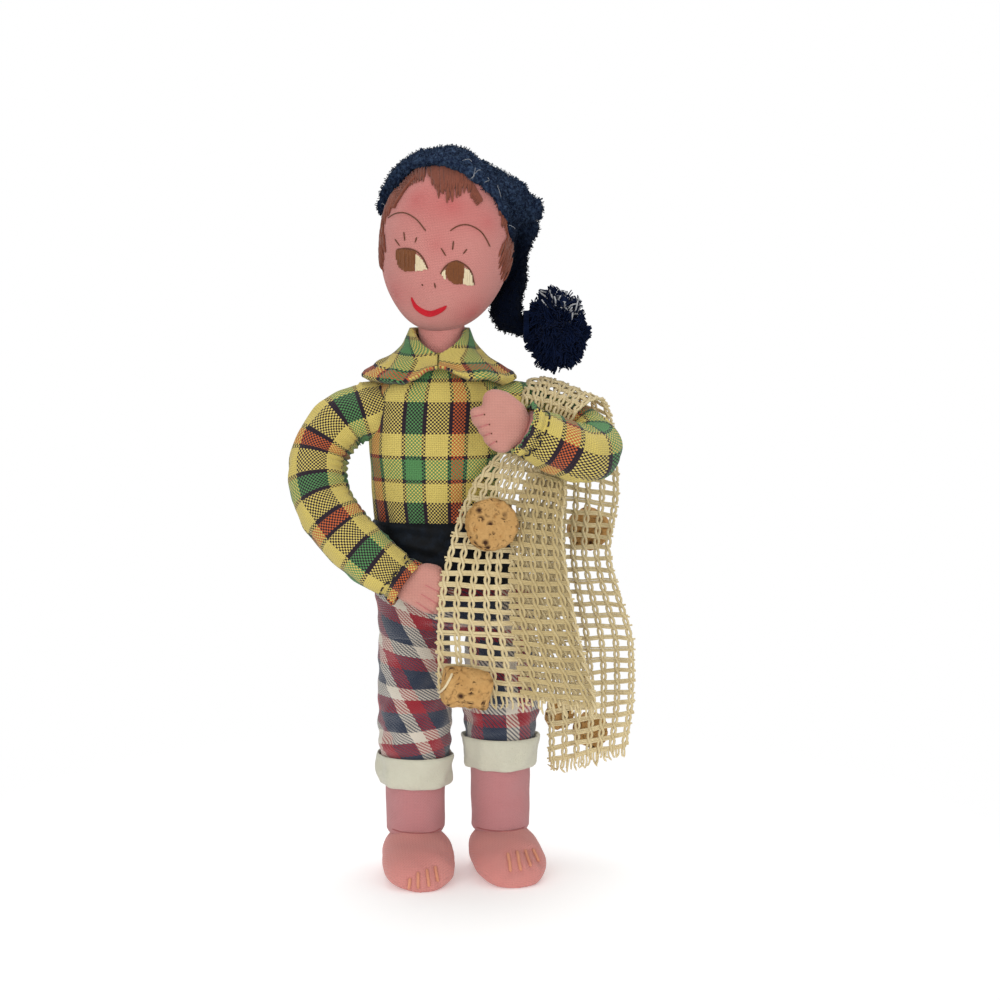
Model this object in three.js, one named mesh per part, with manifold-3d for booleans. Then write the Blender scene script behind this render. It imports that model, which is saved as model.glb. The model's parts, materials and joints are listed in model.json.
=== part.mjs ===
// A cloth doll in fisherman's dress: a stuffed body on bendable wires, in a checked shirt and
// trousers, with a stocking cap, and a strip of open net with cork floats over its left arm.
// Millimetres, +Z up. The doll faces -Y, and its left side is +X.
import * as THREE from "three";
import { mergeVertices } from "three/addons/utils/BufferGeometryUtils.js";
import Module from "manifold-3d";

const wasm = await Module();
wasm.setup();

// Clearances
const SEAT_GAP = 0.3; // between pieces that are sewn, tied or stacked together
const JOINT_GAP = 0.6; // between pieces that turn past each other
const CUTTER_SIZE = 120; // a block that is larger than the head and what it wears

// Cloth, wool, felt and wire
const SHIRT_CLOTH = 1.2;
const TROUSER_CLOTH = 1.2;
const TROUSER_EASE = 0.6; // how far the trouser legs stand off the leg
const SASH_CLOTH = 1.4;
const CUFF_FELT = 2.6;
const CAP_WOOL = 2.6;
const HAIR_YARN = 1.2;
const WIRE_RADIUS = 0.8;

// Legs and feet
const HIP_HEIGHT = 84;
const LEG_RADIUS = 10.2;
const ANKLE_RADIUS = 9.6;
const ANKLE_HEIGHT = 11; // the leg's lower end, inside the instep
const FOOT_LENGTH = 38;
const FOOT_HALF_WIDTH = 12.8;
const HEEL_HALF_WIDTH = 10.8;
const TOE_HEIGHT = 10;
const INSTEP_HEIGHT = 15.5;
const HEEL_BEHIND_ANKLE = 10.5;
const CUFF_HEIGHT = 10.5;
const LEG_SIDES = {
  right: { x: -13.7, y: 0, hem: 29.5, toesOut: 7 },
  left: { x: 14.9, y: 3.5, hem: 35, toesOut: 12 },
};
const LEG_FORWARD = 12; // degrees
const LEG_BACK = 25;

// Stuffed body, as sections above the hips: height, centre x, half width, half depth
const BODY_SECTIONS = [
  [3, 0.6, 23.6, 12.2],
  [9, 0.3, 25.2, 12.8],
  [16, -1.6, 23.6, 12.6],
  [24, -4.2, 20.6, 12.2],
  [33, -6, 18.6, 11.8],
  [45, -6.5, 19.4, 12.2],
  [57, -6.5, 20.4, 12.4],
  [69, -6, 20.8, 11.8],
  [77, -5.5, 20, 10.4],
  [83, -5, 14.4, 9],
  [88, -4.6, 8.8, 7.6],
  [90, -4.3, 6.6, 6.4],
];
const SEAT_RISE = 6; // the trouser seat's lower rim, above the hips
const TUCK_RISE = 24; // where shirt meets trousers, under the sash
const SASH_BOTTOM_RISE = 14;
const SASH_TOP_RISE = 35;
const BODY_TOP = HIP_HEIGHT + BODY_SECTIONS.at(-1)[0];

// Neck and head
const NECK = new THREE.Vector3(-4.3, -1, BODY_TOP);
const NECK_RADIUS = 5.4;
const NECK_LENGTH = 15;
const HEAD_HALF_WIDTH = 21.4;
const HEAD_HALF_DEPTH = 19;
const HEAD_HALF_HEIGHT = 28;
const CHIN_RISE = 6.5; // the chin, above the body's top
const HEAD = new THREE.Vector3(-2.6, -1, BODY_TOP + CHIN_RISE + HEAD_HALF_HEIGHT);
const CHIN_FORWARD = 5;
const HEAD_TILT = 5; // degrees, the crown leaning to the doll's left
const HEAD_TURN = -10; // degrees, the face turned to the doll's right
const HEAD_SWING = 20; // degrees each way on the neck
const HAIR_WIDTH = 5;
const SIDEBURN_DROP = 12; // the hair's lower ends, below the middle of the head
const CAP_EDGE_FORWARD = 2.5; // where the cap's edge passes the temple, and how high
const CAP_EDGE_RISE = 8.4;
const CAP_EDGE_LEAN = 29; // degrees from upright
const CAP_EDGE_SKEW = -11; // degrees, the edge further forward on the doll's left
const CAP_NAPE_DROP = 5; // the cap's lower edge at the nape, below the middle of the head
const CAP_NAPE_TILT = 30; // degrees, the lower edge higher on the doll's right
const CAP_SLACK = [-1.6, 0, 0.5]; // how the cap's outside stands off the head

// Cap's drooping crown and tail, as offsets from the middle of the head
const CROWN_PATH = [
  [6, 4, 11.5],
  [18, 6, 12.5],
  [27, 7.5, 11.5],
];
const CROWN_RADII = [17, 12, 5];
const TAIL_PATH = [
  [26, 10.5, 6.5],
  [22.8, 14.5, -3],
  [21.6, 15.5, -12],
  [19.4, 14, -20],
  [21, 13.4, -25.8],
  [27.6, 13, -26.8],
];
const TAIL_RADII = [4.2, 3.8, 4.6, 5.8, 4.2, 2.4];
const TAIL_SWING = 35; // degrees outward
const POMPOM = new THREE.Vector3(36.4, 13, -27.6);
const POMPOM_RADII = new THREE.Vector3(11.4, 11.5, 14.6);
const POMPOM_TIE_RADIUS = 1;

// Collar sections: height above the body's top, half width, half depth
const COLLAR_SECTIONS = [
  [-9.6, 23, 15.6],
  [-8, 23, 15.6],
  [-3.4, 16.4, 13],
  [1.6, 11, 10.6],
  [7, 8.6, 8.8],
];
const COLLAR_NOTCH_DEPTH = 13; // the open front, down from the collar's top
const COLLAR_NOTCH_HALF_WIDTH = 5.6;

// Arms, as offsets from the shoulders, with the stuffed arm's radius at each point
const SHOULDER_RISE = 71;
const RIGHT_SHOULDER = new THREE.Vector3(-27, 0, HIP_HEIGHT + SHOULDER_RISE);
const RIGHT_ARM_PATH = [
  [0, 0, 0],
  [-10, -1.5, -4],
  [-17, -4, -14],
  [-17, -8.5, -25.5],
  [-10.5, -14, -36.5],
  [-0.5, -18.5, -46],
  [11, -21, -54],
];
const RIGHT_ARM_RADII = [8, 7.8, 7.9, 8, 8, 7.6, 5.8];
const RIGHT_ARM_RAISE = 35; // degrees
const LEFT_SHOULDER = new THREE.Vector3(17.5, 1, HIP_HEIGHT + SHOULDER_RISE);
const LEFT_ARM_PATH = [
  [0, 0, 0],
  [10, 4, -2],
  [18.5, 5.5, -5.5],
  [26, 1.5, -10],
  [27.5, -7.5, -13],
  [22, -15.5, -13],
  [13.5, -20, -9],
  [5, -23, -4.5],
];
const LEFT_ARM_RADII = [8, 7.6, 7.4, 7.8, 8, 7.8, 7.5, 6.6];
const LEFT_ARM_OPEN = 25; // degrees

// Mitts: outlines seen from the front, as offsets from the wrist
const HAND_HALF_THICKNESS = 3.6;
const HAND_ROUNDING = 0.5; // how far the front and back draw in from the outline
const RIGHT_HAND_OUTLINE = [
  [-2, 3.6],
  [3.2, 5],
  [7.6, 5.9],
  [11.4, 5],
  [13.4, 0.5],
  [13, -6],
  [11, -10.2],
  [7, -9.6],
  [2, -6.8],
  [-2, -4.2],
];
const LEFT_HAND_OUTLINE = [
  [1.5, -3.6],
  [-3.8, -6.6],
  [-8.4, -7.4],
  [-11.8, -4.4],
  [-15, 0.6],
  [-17.2, 4.2],
  [-16.6, 6.4],
  [-13.2, 7],
  [-12.6, 10.4],
  [-9.6, 12.6],
  [-3.8, 10.4],
  [1.5, 4],
];

// Net strip, front hem to back hem, as offsets from the left shoulder: its middle, and the
// vector from there to its outer edge
const NET_PATH = [
  [3.5, -22.5, -92.5],
  [-0.7, -23, -59],
  [0.5, -20.5, -36],
  [4, -13.6, -24],
  [10.5, -7, -9],
  [13.5, -7, 2.6],
  [19, 5.2, 8],
  [21.5, 15.6, -4],
  [23.2, 17.4, -28],
  [22.4, 17, -51],
  [27, 16.5, -80],
  [28.5, 15.4, -103],
  [27.5, 14, -121],
];
const NET_HALF_SPANS = [
  [25.5, 3.5, -4],
  [20.8, 3, -1],
  [16, 3.5, -2],
  [14, 2, -2.5],
  [6, 2.6, -2.6],
  [8, 1.4, -3],
  [12, -1.6, -5],
  [14, -0.5, -5],
  [13.6, -1, -2],
  [11.6, -1, 0],
  [15.5, -1, 0],
  [14, -1, 2],
  [12.5, -1, 3],
];
const NET_CROOK = 0.335; // share of the strip where the front panel ends, under the forearm
const NET_BEHIND = 0.56; // share where the back panel starts, behind the arm
const NET_CORD = 1.3; // cord width and thickness
const NET_GAPS_ACROSS = 6;
const NET_ROW_PITCH = 8.4;
const NET_RIPPLE = 0.6; // depth of the panels' folds

// Cork floats: place on the net (across from -1 to 1, along from 0 to 1), side of the net,
// radius, thickness, and whether the cork lies flat on the net or on its side
const FLOATS = {
  float_front_top: { across: -0.46, along: 0.225, side: -1, radius: 8.4, thick: 7, flat: true },
  float_front_corner: { across: -0.7, along: 0.016, side: -1, radius: 6.4, thick: 15, flat: false },
  float_back_side: { across: 0.5, along: 0.685, side: -1, radius: 7.4, thick: 7, flat: true },
  float_back_inner: { across: -0.72, along: 0.94, side: -1, radius: 5, thick: 6, flat: true },
  float_back_corner: { across: 0.14, along: 0.968, side: -1, radius: 6, thick: 7, flat: true },
};
const FLOAT_EDGE = 1; // rounding of a cork's rims

// Colour, roughness and metalness of each kind of piece
const LOOKS = {
  skin: [0xc98680, 0.9, 0],
  shirt: [0xc9b85a, 0.9, 0],
  trousers: [0x8a3b50, 0.95, 0],
  felt: [0xefece0, 0.95, 0],
  velvet: [0x10131f, 0.8, 0],
  wool: [0x24324f, 1, 0],
  yarn: [0x8c5138, 0.9, 0],
  net: [0xdcc99b, 0.9, 0],
  cork: [0xc9955a, 0.85, 0],
  wire: [0x9a9a9a, 0.4, 1],
};

// Geometry helpers

const vector = ([x, y, z]) => new THREE.Vector3(x, y, z);
const radians = THREE.MathUtils.degToRad;

function pathFrom(origin, offsets) {
  return offsets.map((offset) => vector(offset).add(origin));
}

function closedGeometry(positions, index) {
  const geometry = new THREE.BufferGeometry();
  geometry.setAttribute("position", new THREE.Float32BufferAttribute(positions, 3));
  geometry.setIndex(index);
  return geometry;
}

// Skins a list of equal rings. An open list gets flat ends, and a cyclic one closes on itself.
function skinRings(rings, cyclic = false) {
  const sides = rings[0].length;
  const positions = rings.flat().flatMap((point) => point.toArray());
  const index = [];
  const bands = cyclic ? rings.length : rings.length - 1;
  for (let i = 0; i < bands; i++) {
    const low = i * sides;
    const high = ((i + 1) % rings.length) * sides;
    for (let j = 0; j < sides; j++) {
      const k = (j + 1) % sides;
      index.push(low + j, low + k, high + k, low + j, high + k, high + j);
    }
  }
  if (!cyclic) {
    for (const [start, reversed] of [[0, true], [(rings.length - 1) * sides, false]]) {
      const middle = new THREE.Vector3();
      rings[start / sides].forEach((point) => middle.add(point));
      middle.divideScalar(sides);
      const hub = positions.length / 3;
      positions.push(...middle.toArray());
      for (let j = 0; j < sides; j++) {
        const k = (j + 1) % sides;
        index.push(hub, start + (reversed ? k : j), start + (reversed ? j : k));
      }
    }
  }
  return closedGeometry(positions, index);
}

// A wall between two equal lists of rings, open at both ends
function skinShell(outer, inner) {
  return skinRings([...outer, ...[...inner].reverse()], true);
}

function ellipseRing(centre, halfWidth, halfDepth, sides) {
  return Array.from({ length: sides }, (_, i) => {
    const turn = (i / sides) * Math.PI * 2;
    const reach = new THREE.Vector3(halfWidth * Math.cos(turn), halfDepth * Math.sin(turn), 0);
    return reach.add(centre);
  });
}

function limbCurve(path) {
  return new THREE.CatmullRomCurve3(path, false, "centripetal");
}

function limbRadius(curve, radii, along) {
  const place = curve.getUtoTmapping(along) * (radii.length - 1);
  const low = Math.min(Math.floor(place), radii.length - 2);
  return THREE.MathUtils.lerp(radii[low], radii[low + 1], place - low);
}

// Rings along a limb: `grow` is added to the limb's radius, and `dome` rings round off the start.
function limbRings({ path, radii, grow = 0, steps, sides, from = 0, to = 1, dome = 0, open = 0 }) {
  const curve = limbCurve(path);
  const frames = curve.computeFrenetFrames(120, false);
  const rings = [];
  const radiusAt = (along) => limbRadius(curve, radii, along) + grow;
  const ring = (along, radius, shift) => {
    const frame = Math.round(along * 120);
    const centre = curve.getPointAt(along).addScaledVector(frames.tangents[frame], shift);
    return Array.from({ length: sides }, (_, i) => {
      const turn = (i / sides) * Math.PI * 2;
      return centre
        .clone()
        .addScaledVector(frames.normals[frame], radius * Math.cos(turn))
        .addScaledVector(frames.binormals[frame], radius * Math.sin(turn));
    });
  };
  for (let i = 0; i < dome; i++) {
    const tilt = radians(THREE.MathUtils.lerp(open || 15, 90, i / dome));
    const radius = radiusAt(from);
    rings.push(ring(from, radius * Math.sin(tilt), -radius * Math.cos(tilt)));
  }
  for (let i = 0; i <= steps; i++) {
    const along = THREE.MathUtils.lerp(from, to, i / steps);
    rings.push(ring(along, radiusAt(along), 0));
  }
  return rings;
}

function rod(path, radius, steps, sides = 8) {
  return skinRings(limbRings({ path, radii: path.map(() => radius), steps, sides }));
}

function solidOf(geometry) {
  const plain = geometry.clone();
  plain.deleteAttribute("normal");
  plain.deleteAttribute("uv");
  const merged = mergeVertices(plain, 1e-4);
  return new wasm.Manifold(
    new wasm.Mesh({
      numProp: 3,
      vertProperties: new Float32Array(merged.attributes.position.array),
      triVerts: new Uint32Array(merged.index.array),
    }),
  );
}

function geometryOf(solid) {
  const mesh = solid.getMesh();
  const positions = [];
  for (let i = 0; i < mesh.numVert; i++) {
    positions.push(...mesh.vertProperties.subarray(i * mesh.numProp, i * mesh.numProp + 3));
  }
  return closedGeometry(positions, Array.from(mesh.triVerts));
}

function largestBody(solid) {
  const bodies = solid.decompose();
  return bodies.reduce((best, body) => (body.volume() > best.volume() ? body : best));
}

function cut(geometry, ...tools) {
  const left = tools.reduce((solid, tool) => solid.subtract(solidOf(tool)), solidOf(geometry));
  return geometryOf(largestBody(left));
}

function join(...geometries) {
  return geometryOf(geometries.map(solidOf).reduce((all, next) => all.add(next)));
}

// What a limb's rounded root and its first stretch fill while the limb turns on that root
function turningSpace(limb, grow, axis, degrees, reach) {
  const root = limb.path[0];
  const ball = new THREE.SphereGeometry(limb.radii[0] + grow, 18, 12).translate(...root.toArray());
  const stretch = skinRings(limbRings({ ...limb, grow, dome: 0, steps: 3, to: reach }));
  const turned = degrees.map((angle) => {
    const turn = new THREE.Matrix4()
      .makeTranslation(root)
      .multiply(new THREE.Matrix4().makeRotationAxis(axis, radians(angle)))
      .multiply(new THREE.Matrix4().makeTranslation(root.clone().negate()));
    return stretch.clone().applyMatrix4(turn);
  });
  return join(ball, ...turned);
}

// The bowl that a solid's underside sweeps as it turns about an upright axis
function turningBowl(geometry, axisPoint, gap, height) {
  const place = geometry.getAttribute("position");
  const levels = 8;
  const points = [];
  for (let i = 0; i < place.count; i++) points.push(new THREE.Vector3().fromBufferAttribute(place, i));
  const lowest = Math.min(...points.map((point) => point.z));
  const profile = [new THREE.Vector2(0, lowest - gap)];
  for (let i = 1; i <= levels; i++) {
    const level = lowest + (height * i) / levels;
    const below = points.filter((point) => point.z <= level);
    const reach = Math.max(...below.map(({ x, y }) => Math.hypot(x - axisPoint.x, y - axisPoint.y)));
    profile.push(new THREE.Vector2(reach + gap, level - gap));
  }
  profile.push(new THREE.Vector2(0, lowest + height));
  return new THREE.LatheGeometry(profile, 24)
    .rotateX(Math.PI / 2)
    .translate(axisPoint.x, axisPoint.y, 0);
}

function box(width, depth, height, centre) {
  return new THREE.BoxGeometry(width, depth, height).translate(...centre.toArray());
}

function cylinder(radius, height, base, sides = 20) {
  return new THREE.CylinderGeometry(radius, radius, height, sides)
    .rotateX(Math.PI / 2)
    .translate(base.x, base.y, base.z + height / 2);
}

// Body, shirt, sash and trouser seat

function bodySection(rise) {
  const last = BODY_SECTIONS.length - 1;
  let i = BODY_SECTIONS.findIndex((section) => section[0] >= rise);
  i = THREE.MathUtils.clamp(i, 1, last);
  const [low, high] = [BODY_SECTIONS[i - 1], BODY_SECTIONS[i]];
  const share = (rise - low[0]) / (high[0] - low[0]);
  return low.map((value, k) => THREE.MathUtils.lerp(value, high[k], share));
}

function bodyRings(rises, grow) {
  return rises.map((rise) => {
    const [, x, halfWidth, halfDepth] = bodySection(rise);
    const centre = new THREE.Vector3(x, 0, HIP_HEIGHT + rise);
    return ellipseRing(centre, halfWidth + grow, halfDepth + grow, 20);
  });
}

function bodyRises(from, to) {
  const inside = BODY_SECTIONS.map((section) => section[0]).filter((rise) => rise > from && rise < to);
  return [from, ...inside, to];
}

function bodyShell(from, to, gap, thickness) {
  const rises = bodyRises(from, to);
  return skinShell(bodyRings(rises, gap + thickness), bodyRings(rises, gap));
}

const bodyBottom = BODY_SECTIONS[0][0];
const bodyTopRise = BODY_SECTIONS.at(-1)[0];
const bodyFull = skinRings(bodyRings(bodyRises(bodyBottom, bodyTopRise), 0));
const dressedBody = skinRings(
  bodyRings(bodyRises(bodyBottom, bodyTopRise), SHIRT_CLOTH + 2 * SEAT_GAP),
);

// Arms

const armSides = {
  right: { shoulder: RIGHT_SHOULDER, offsets: RIGHT_ARM_PATH, radii: RIGHT_ARM_RADII, steps: 11 },
  left: { shoulder: LEFT_SHOULDER, offsets: LEFT_ARM_PATH, radii: LEFT_ARM_RADII, steps: 14 },
};
for (const arm of Object.values(armSides)) {
  arm.path = pathFrom(arm.shoulder, arm.offsets);
  arm.limb = { path: arm.path, radii: arm.radii, steps: arm.steps, sides: 12, dome: 3 };
  arm.wrist = arm.path.at(-1);
  arm.sleeveGrow = SEAT_GAP + SHIRT_CLOTH;
}

function sleeve(arm) {
  const outer = limbRings({ ...arm.limb, grow: arm.sleeveGrow, open: 40 });
  const inner = limbRings({ ...arm.limb, grow: SEAT_GAP, open: 40 });
  return skinShell(outer, inner);
}

function armReach(arm, clearance) {
  return skinRings(limbRings({ ...arm.limb, grow: arm.sleeveGrow + clearance }));
}

function armWirePath(arm, from, to) {
  const curve = limbCurve(arm.path);
  return Array.from({ length: 9 }, (_, i) => curve.getPointAt(THREE.MathUtils.lerp(from, to, i / 8)));
}

// A stuffed mitt: its outline, drawn in towards the front and back
function hand(arm, outline) {
  const edge = new THREE.CatmullRomCurve3(outline.map(([x, z]) => new THREE.Vector3(x, 0, z)), true);
  const points = edge.getPoints(26).slice(1);
  const middle = new THREE.Box3().setFromPoints(points).getCenter(new THREE.Vector3());
  const rings = [-75, -40, 0, 40, 75].map((tilt) => {
    const share = 1 - HAND_ROUNDING * (1 - Math.cos(radians(tilt)));
    const bulge = new THREE.Vector3(0, HAND_HALF_THICKNESS * Math.sin(radians(tilt)), 0);
    const place = arm.wrist.clone().add(bulge);
    return points.map((point) => middle.clone().lerp(point, share).add(place));
  });
  return cut(skinRings(rings), armReach(arm, SEAT_GAP));
}

function stuffedArm(arm) {
  const bore = WIRE_RADIUS + SEAT_GAP;
  const channel = rod(armWirePath(arm, 0.12, 1), bore, 10, 6);
  const mouth = rod([arm.path.at(-1), arm.wrist.clone().add(endDirection(arm))], bore, 1, 6);
  return cut(skinRings(limbRings(arm.limb)), channel, mouth);
}

function endDirection(arm) {
  return limbCurve(arm.path).getTangentAt(1);
}

const sleeveTurning = SEAT_GAP + SHIRT_CLOTH + JOINT_GAP;
const rightTurns = [0, RIGHT_ARM_RAISE / 2, RIGHT_ARM_RAISE];
const rightTurning = turningSpace(
  armSides.right.limb, sleeveTurning, new THREE.Vector3(0, 1, 0), rightTurns, 0.4,
);
const leftTurning = turningSpace(
  armSides.left.limb, sleeveTurning, new THREE.Vector3(0, 0, 1), [0, LEFT_ARM_OPEN], 0.3,
);

// Legs

for (const leg of Object.values(LEG_SIDES)) {
  leg.hip = new THREE.Vector3(leg.x, leg.y, HIP_HEIGHT);
  leg.ankle = new THREE.Vector3(leg.x, leg.y, ANKLE_HEIGHT);
  leg.path = [leg.hip, leg.hip.clone().lerp(leg.ankle, 0.5), leg.ankle];
  leg.limb = { path: leg.path, radii: [LEG_RADIUS, LEG_RADIUS, ANKLE_RADIUS], sides: 16, dome: 3 };
  leg.shareAt = (height) => (HIP_HEIGHT - height) / (HIP_HEIGHT - ANKLE_HEIGHT);
}

function trouserLeg(leg) {
  const limb = { ...leg.limb, steps: 3, open: 25, to: leg.shareAt(leg.hem + CUFF_HEIGHT + SEAT_GAP) };
  const outer = limbRings({ ...limb, grow: TROUSER_EASE + TROUSER_CLOTH });
  return skinShell(outer, limbRings({ ...limb, grow: TROUSER_EASE }));
}

function cuff(leg) {
  const stretch = { from: leg.shareAt(leg.hem + CUFF_HEIGHT), to: leg.shareAt(leg.hem) };
  const limb = { ...leg.limb, ...stretch, dome: 0, steps: 1 };
  const outer = limbRings({ ...limb, grow: SEAT_GAP + CUFF_FELT });
  return skinShell(outer, limbRings({ ...limb, grow: SEAT_GAP }));
}

// A stuffed foot with a flat sole, blunt at heel and toes, toes towards -Y before it is turned out
function footRings(grow) {
  const stations = 9;
  return Array.from({ length: stations + 1 }, (_, i) => {
    const share = (1 - Math.cos(THREE.MathUtils.lerp(0.06, 0.94, i / stations) * Math.PI)) / 2;
    const along = HEEL_BEHIND_ANKLE + grow - (FOOT_LENGTH + 2 * grow) * share;
    const roundness = (1 - Math.abs(2 * share - 1) ** 3.2) ** 0.45;
    const halfWidth = THREE.MathUtils.lerp(HEEL_HALF_WIDTH, FOOT_HALF_WIDTH, share) * roundness + grow;
    const crown = THREE.MathUtils.lerp(INSTEP_HEIGHT, TOE_HEIGHT, Math.max(2 * share - 0.8, 0) / 1.2);
    const height = crown * roundness ** 0.7 + grow;
    return Array.from({ length: 16 }, (_, k) => {
      const turn = (k / 16) * Math.PI * 2;
      const z = height * (0.5 + 0.55 * Math.sin(turn)) - 0.05 * height;
      return new THREE.Vector3(halfWidth * Math.cos(turn), along, Math.max(z, 0));
    });
  });
}

function foot(leg, grow = 0) {
  const turn = radians(leg.toesOut);
  return skinRings(footRings(grow)).rotateZ(turn).translate(leg.x, leg.y, 0);
}

function stuffedLeg(leg) {
  const low = leg.ankle.clone().setZ(ANKLE_HEIGHT - 2);
  const channel = rod([leg.hip, low], WIRE_RADIUS + SEAT_GAP, 2);
  return cut(skinRings(limbRings({ ...leg.limb, steps: 3 })), foot(leg, SEAT_GAP), channel);
}

const trouserTurning = TROUSER_EASE + TROUSER_CLOTH + JOINT_GAP;
const hipSockets = Object.values(LEG_SIDES).map((leg) =>
  turningSpace(
    leg.limb, trouserTurning, new THREE.Vector3(-1, 0, 0), [-LEG_BACK, LEG_FORWARD], 0.4,
  ),
);

// Head, hair and cap

function placeOnNeck(geometry) {
  return geometry
    .rotateZ(radians(HEAD_TURN))
    .rotateY(radians(HEAD_TILT))
    .translate(HEAD.x, HEAD.y, HEAD.z);
}

// An egg, wider above, with the chin drawn forward
function headEgg(grow, steps = 11, sides = 20) {
  const rings = [];
  for (let i = 0; i <= steps; i++) {
    const level = -Math.cos(radians(THREE.MathUtils.lerp(9, 171, i / steps)));
    const girth = Math.sqrt(1 - level * level) * (1 + 0.06 * level);
    const forward = -CHIN_FORWARD * Math.max(-level, 0) ** 2;
    const centre = new THREE.Vector3(0, forward, level * (HEAD_HALF_HEIGHT + grow));
    const halfWidth = girth * (HEAD_HALF_WIDTH + grow);
    rings.push(ellipseRing(centre, halfWidth, girth * (HEAD_HALF_DEPTH + grow), sides));
  }
  return skinRings(rings);
}

// A block on one side of the cap's leaning edge (`side` -1 before it, 1 behind it), moved back by `back`
function besideCapEdge(side, back) {
  const middle = new THREE.Vector3(0, (side * CUTTER_SIZE) / 2 + back, 0);
  return box(CUTTER_SIZE, CUTTER_SIZE, CUTTER_SIZE, middle)
    .rotateX(radians(CAP_EDGE_LEAN))
    .rotateZ(radians(CAP_EDGE_SKEW))
    .translate(0, -CAP_EDGE_FORWARD, CAP_EDGE_RISE);
}

function belowLevel(drop, tilt = 0) {
  const block = box(CUTTER_SIZE, CUTTER_SIZE, CUTTER_SIZE, new THREE.Vector3(0, 0, -CUTTER_SIZE / 2));
  return block.rotateY(radians(tilt)).translate(0, 0, -drop);
}

const headBore = cylinder(NECK_RADIUS + JOINT_GAP, NECK_LENGTH + 2 + SEAT_GAP, NECK);
const wireTop = NECK.z + NECK_LENGTH + 10;
const wireBottom = HIP_HEIGHT + bodyBottom + 14;
const spineChannel = cylinder(
  WIRE_RADIUS + SEAT_GAP, wireTop - wireBottom + 2 * SEAT_GAP, NECK.clone().setZ(wireBottom - SEAT_GAP), 10,
);

function hair() {
  const band = cut(
    headEgg(SEAT_GAP + HAIR_YARN),
    headEgg(SEAT_GAP),
    besideCapEdge(-1, -HAIR_WIDTH),
    besideCapEdge(1, -SEAT_GAP),
    belowLevel(SIDEBURN_DROP),
  );
  return placeOnNeck(band);
}

const crownRings = limbRings({
  path: pathFrom(HEAD, CROWN_PATH), radii: CROWN_RADII, steps: 4, sides: 14, dome: 2,
});
const tailLimb = { path: pathFrom(HEAD, TAIL_PATH), radii: TAIL_RADII, steps: 11, sides: 12, dome: 3 };
const tailTurning = turningSpace(
  tailLimb, JOINT_GAP, new THREE.Vector3(0, -1, 0), [0, TAIL_SWING], 0.3,
);
const headCovered = placeOnNeck(headEgg(SEAT_GAP));
const crownEnd = new THREE.SphereGeometry(CROWN_RADII.at(-1), 14, 8).translate(
  ...pathFrom(HEAD, CROWN_PATH).at(-1).toArray(),
);
const capFull = join(
  placeOnNeck(headEgg(SEAT_GAP + CAP_WOOL)).translate(...CAP_SLACK), skinRings(crownRings), crownEnd,
);
const capEdge = placeOnNeck(besideCapEdge(-1, 0));
const headTurning = turningBowl(placeOnNeck(headEgg(0, 30, 48)), NECK, JOINT_GAP, 14);

function cap() {
  const nape = placeOnNeck(belowLevel(CAP_NAPE_DROP, CAP_NAPE_TILT));
  return cut(capFull, headCovered, capEdge, nape, tailTurning);
}

function capTail() {
  return cut(skinRings(limbRings(tailLimb)), placeOnNeck(headEgg(SEAT_GAP + CAP_WOOL + JOINT_GAP)));
}

// A tuft with a lumpy outline
function pompom() {
  const tuft = new THREE.SphereGeometry(1, 16, 10);
  const place = tuft.getAttribute("position");
  const point = new THREE.Vector3();
  for (let i = 0; i < place.count; i++) {
    point.fromBufferAttribute(place, i);
    const lump = 1 + 0.05 * Math.sin(9 * point.x + 2) * Math.cos(8 * point.y) * Math.cos(7 * point.z);
    point.multiplyScalar(lump).multiply(POMPOM_RADII).add(POMPOM).add(HEAD);
    place.setXYZ(i, point.x, point.y, point.z);
  }
  return cut(tuft, skinRings(limbRings({ ...tailLimb, grow: SEAT_GAP })), pompomTie(SEAT_GAP));
}

// The binding round the tail's narrow end
function pompomTie(grow = 0) {
  const curve = limbCurve(tailLimb.path);
  const along = 0.965;
  const radius = limbRadius(curve, TAIL_RADII, along);
  const reach = radius + POMPOM_TIE_RADIUS + 2 * SEAT_GAP;
  const ring = new THREE.TorusGeometry(reach, POMPOM_TIE_RADIUS + grow, 6, 14);
  const turn = new THREE.Quaternion().setFromUnitVectors(
    new THREE.Vector3(0, 0, 1), curve.getTangentAt(along),
  );
  return ring.applyQuaternion(turn).translate(...curve.getPointAt(along).toArray());
}

// Collar: a turned-down collar, seated on the shirt's shoulders and open at the throat
function collar() {
  const rings = COLLAR_SECTIONS.map(([rise, halfWidth, halfDepth]) =>
    ellipseRing(new THREE.Vector3(NECK.x - 0.6, NECK.y + 0.6, BODY_TOP + rise), halfWidth, halfDepth, 24),
  );
  const top = COLLAR_SECTIONS.at(-1)[0];
  const notch = new THREE.Shape([
    new THREE.Vector2(-COLLAR_NOTCH_HALF_WIDTH, top + 1),
    new THREE.Vector2(-0.4, top - COLLAR_NOTCH_DEPTH),
    new THREE.Vector2(0.4, top - COLLAR_NOTCH_DEPTH),
    new THREE.Vector2(COLLAR_NOTCH_HALF_WIDTH, top + 1),
  ]);
  const opening = new THREE.ExtrudeGeometry(notch, { depth: 30, bevelEnabled: false })
    .rotateX(Math.PI / 2)
    .translate(NECK.x, NECK.y, BODY_TOP);
  const throat = cylinder(NECK_RADIUS + SEAT_GAP, 40, NECK.clone().setZ(BODY_TOP - 20));
  return cut(
    skinRings(rings), dressedBody, throat, opening, headTurning, rightTurning, leftTurning,
  );
}

// Net

const netMiddle = limbCurve(pathFrom(LEFT_SHOULDER, NET_PATH));
const netSpan = new THREE.CatmullRomCurve3(NET_HALF_SPANS.map(vector), false, "catmullrom", 0.5);

function netPoint(across, along) {
  const share = netMiddle.getUtoTmapping(along);
  const ripple = NET_RIPPLE * Math.sin(across * 7 + along * 9) * Math.abs(Math.cos(along * Math.PI));
  const point = netMiddle.getPoint(share).addScaledVector(netSpan.getPoint(share), across);
  return point.addScaledVector(netFlatNormal(share), ripple);
}

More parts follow.
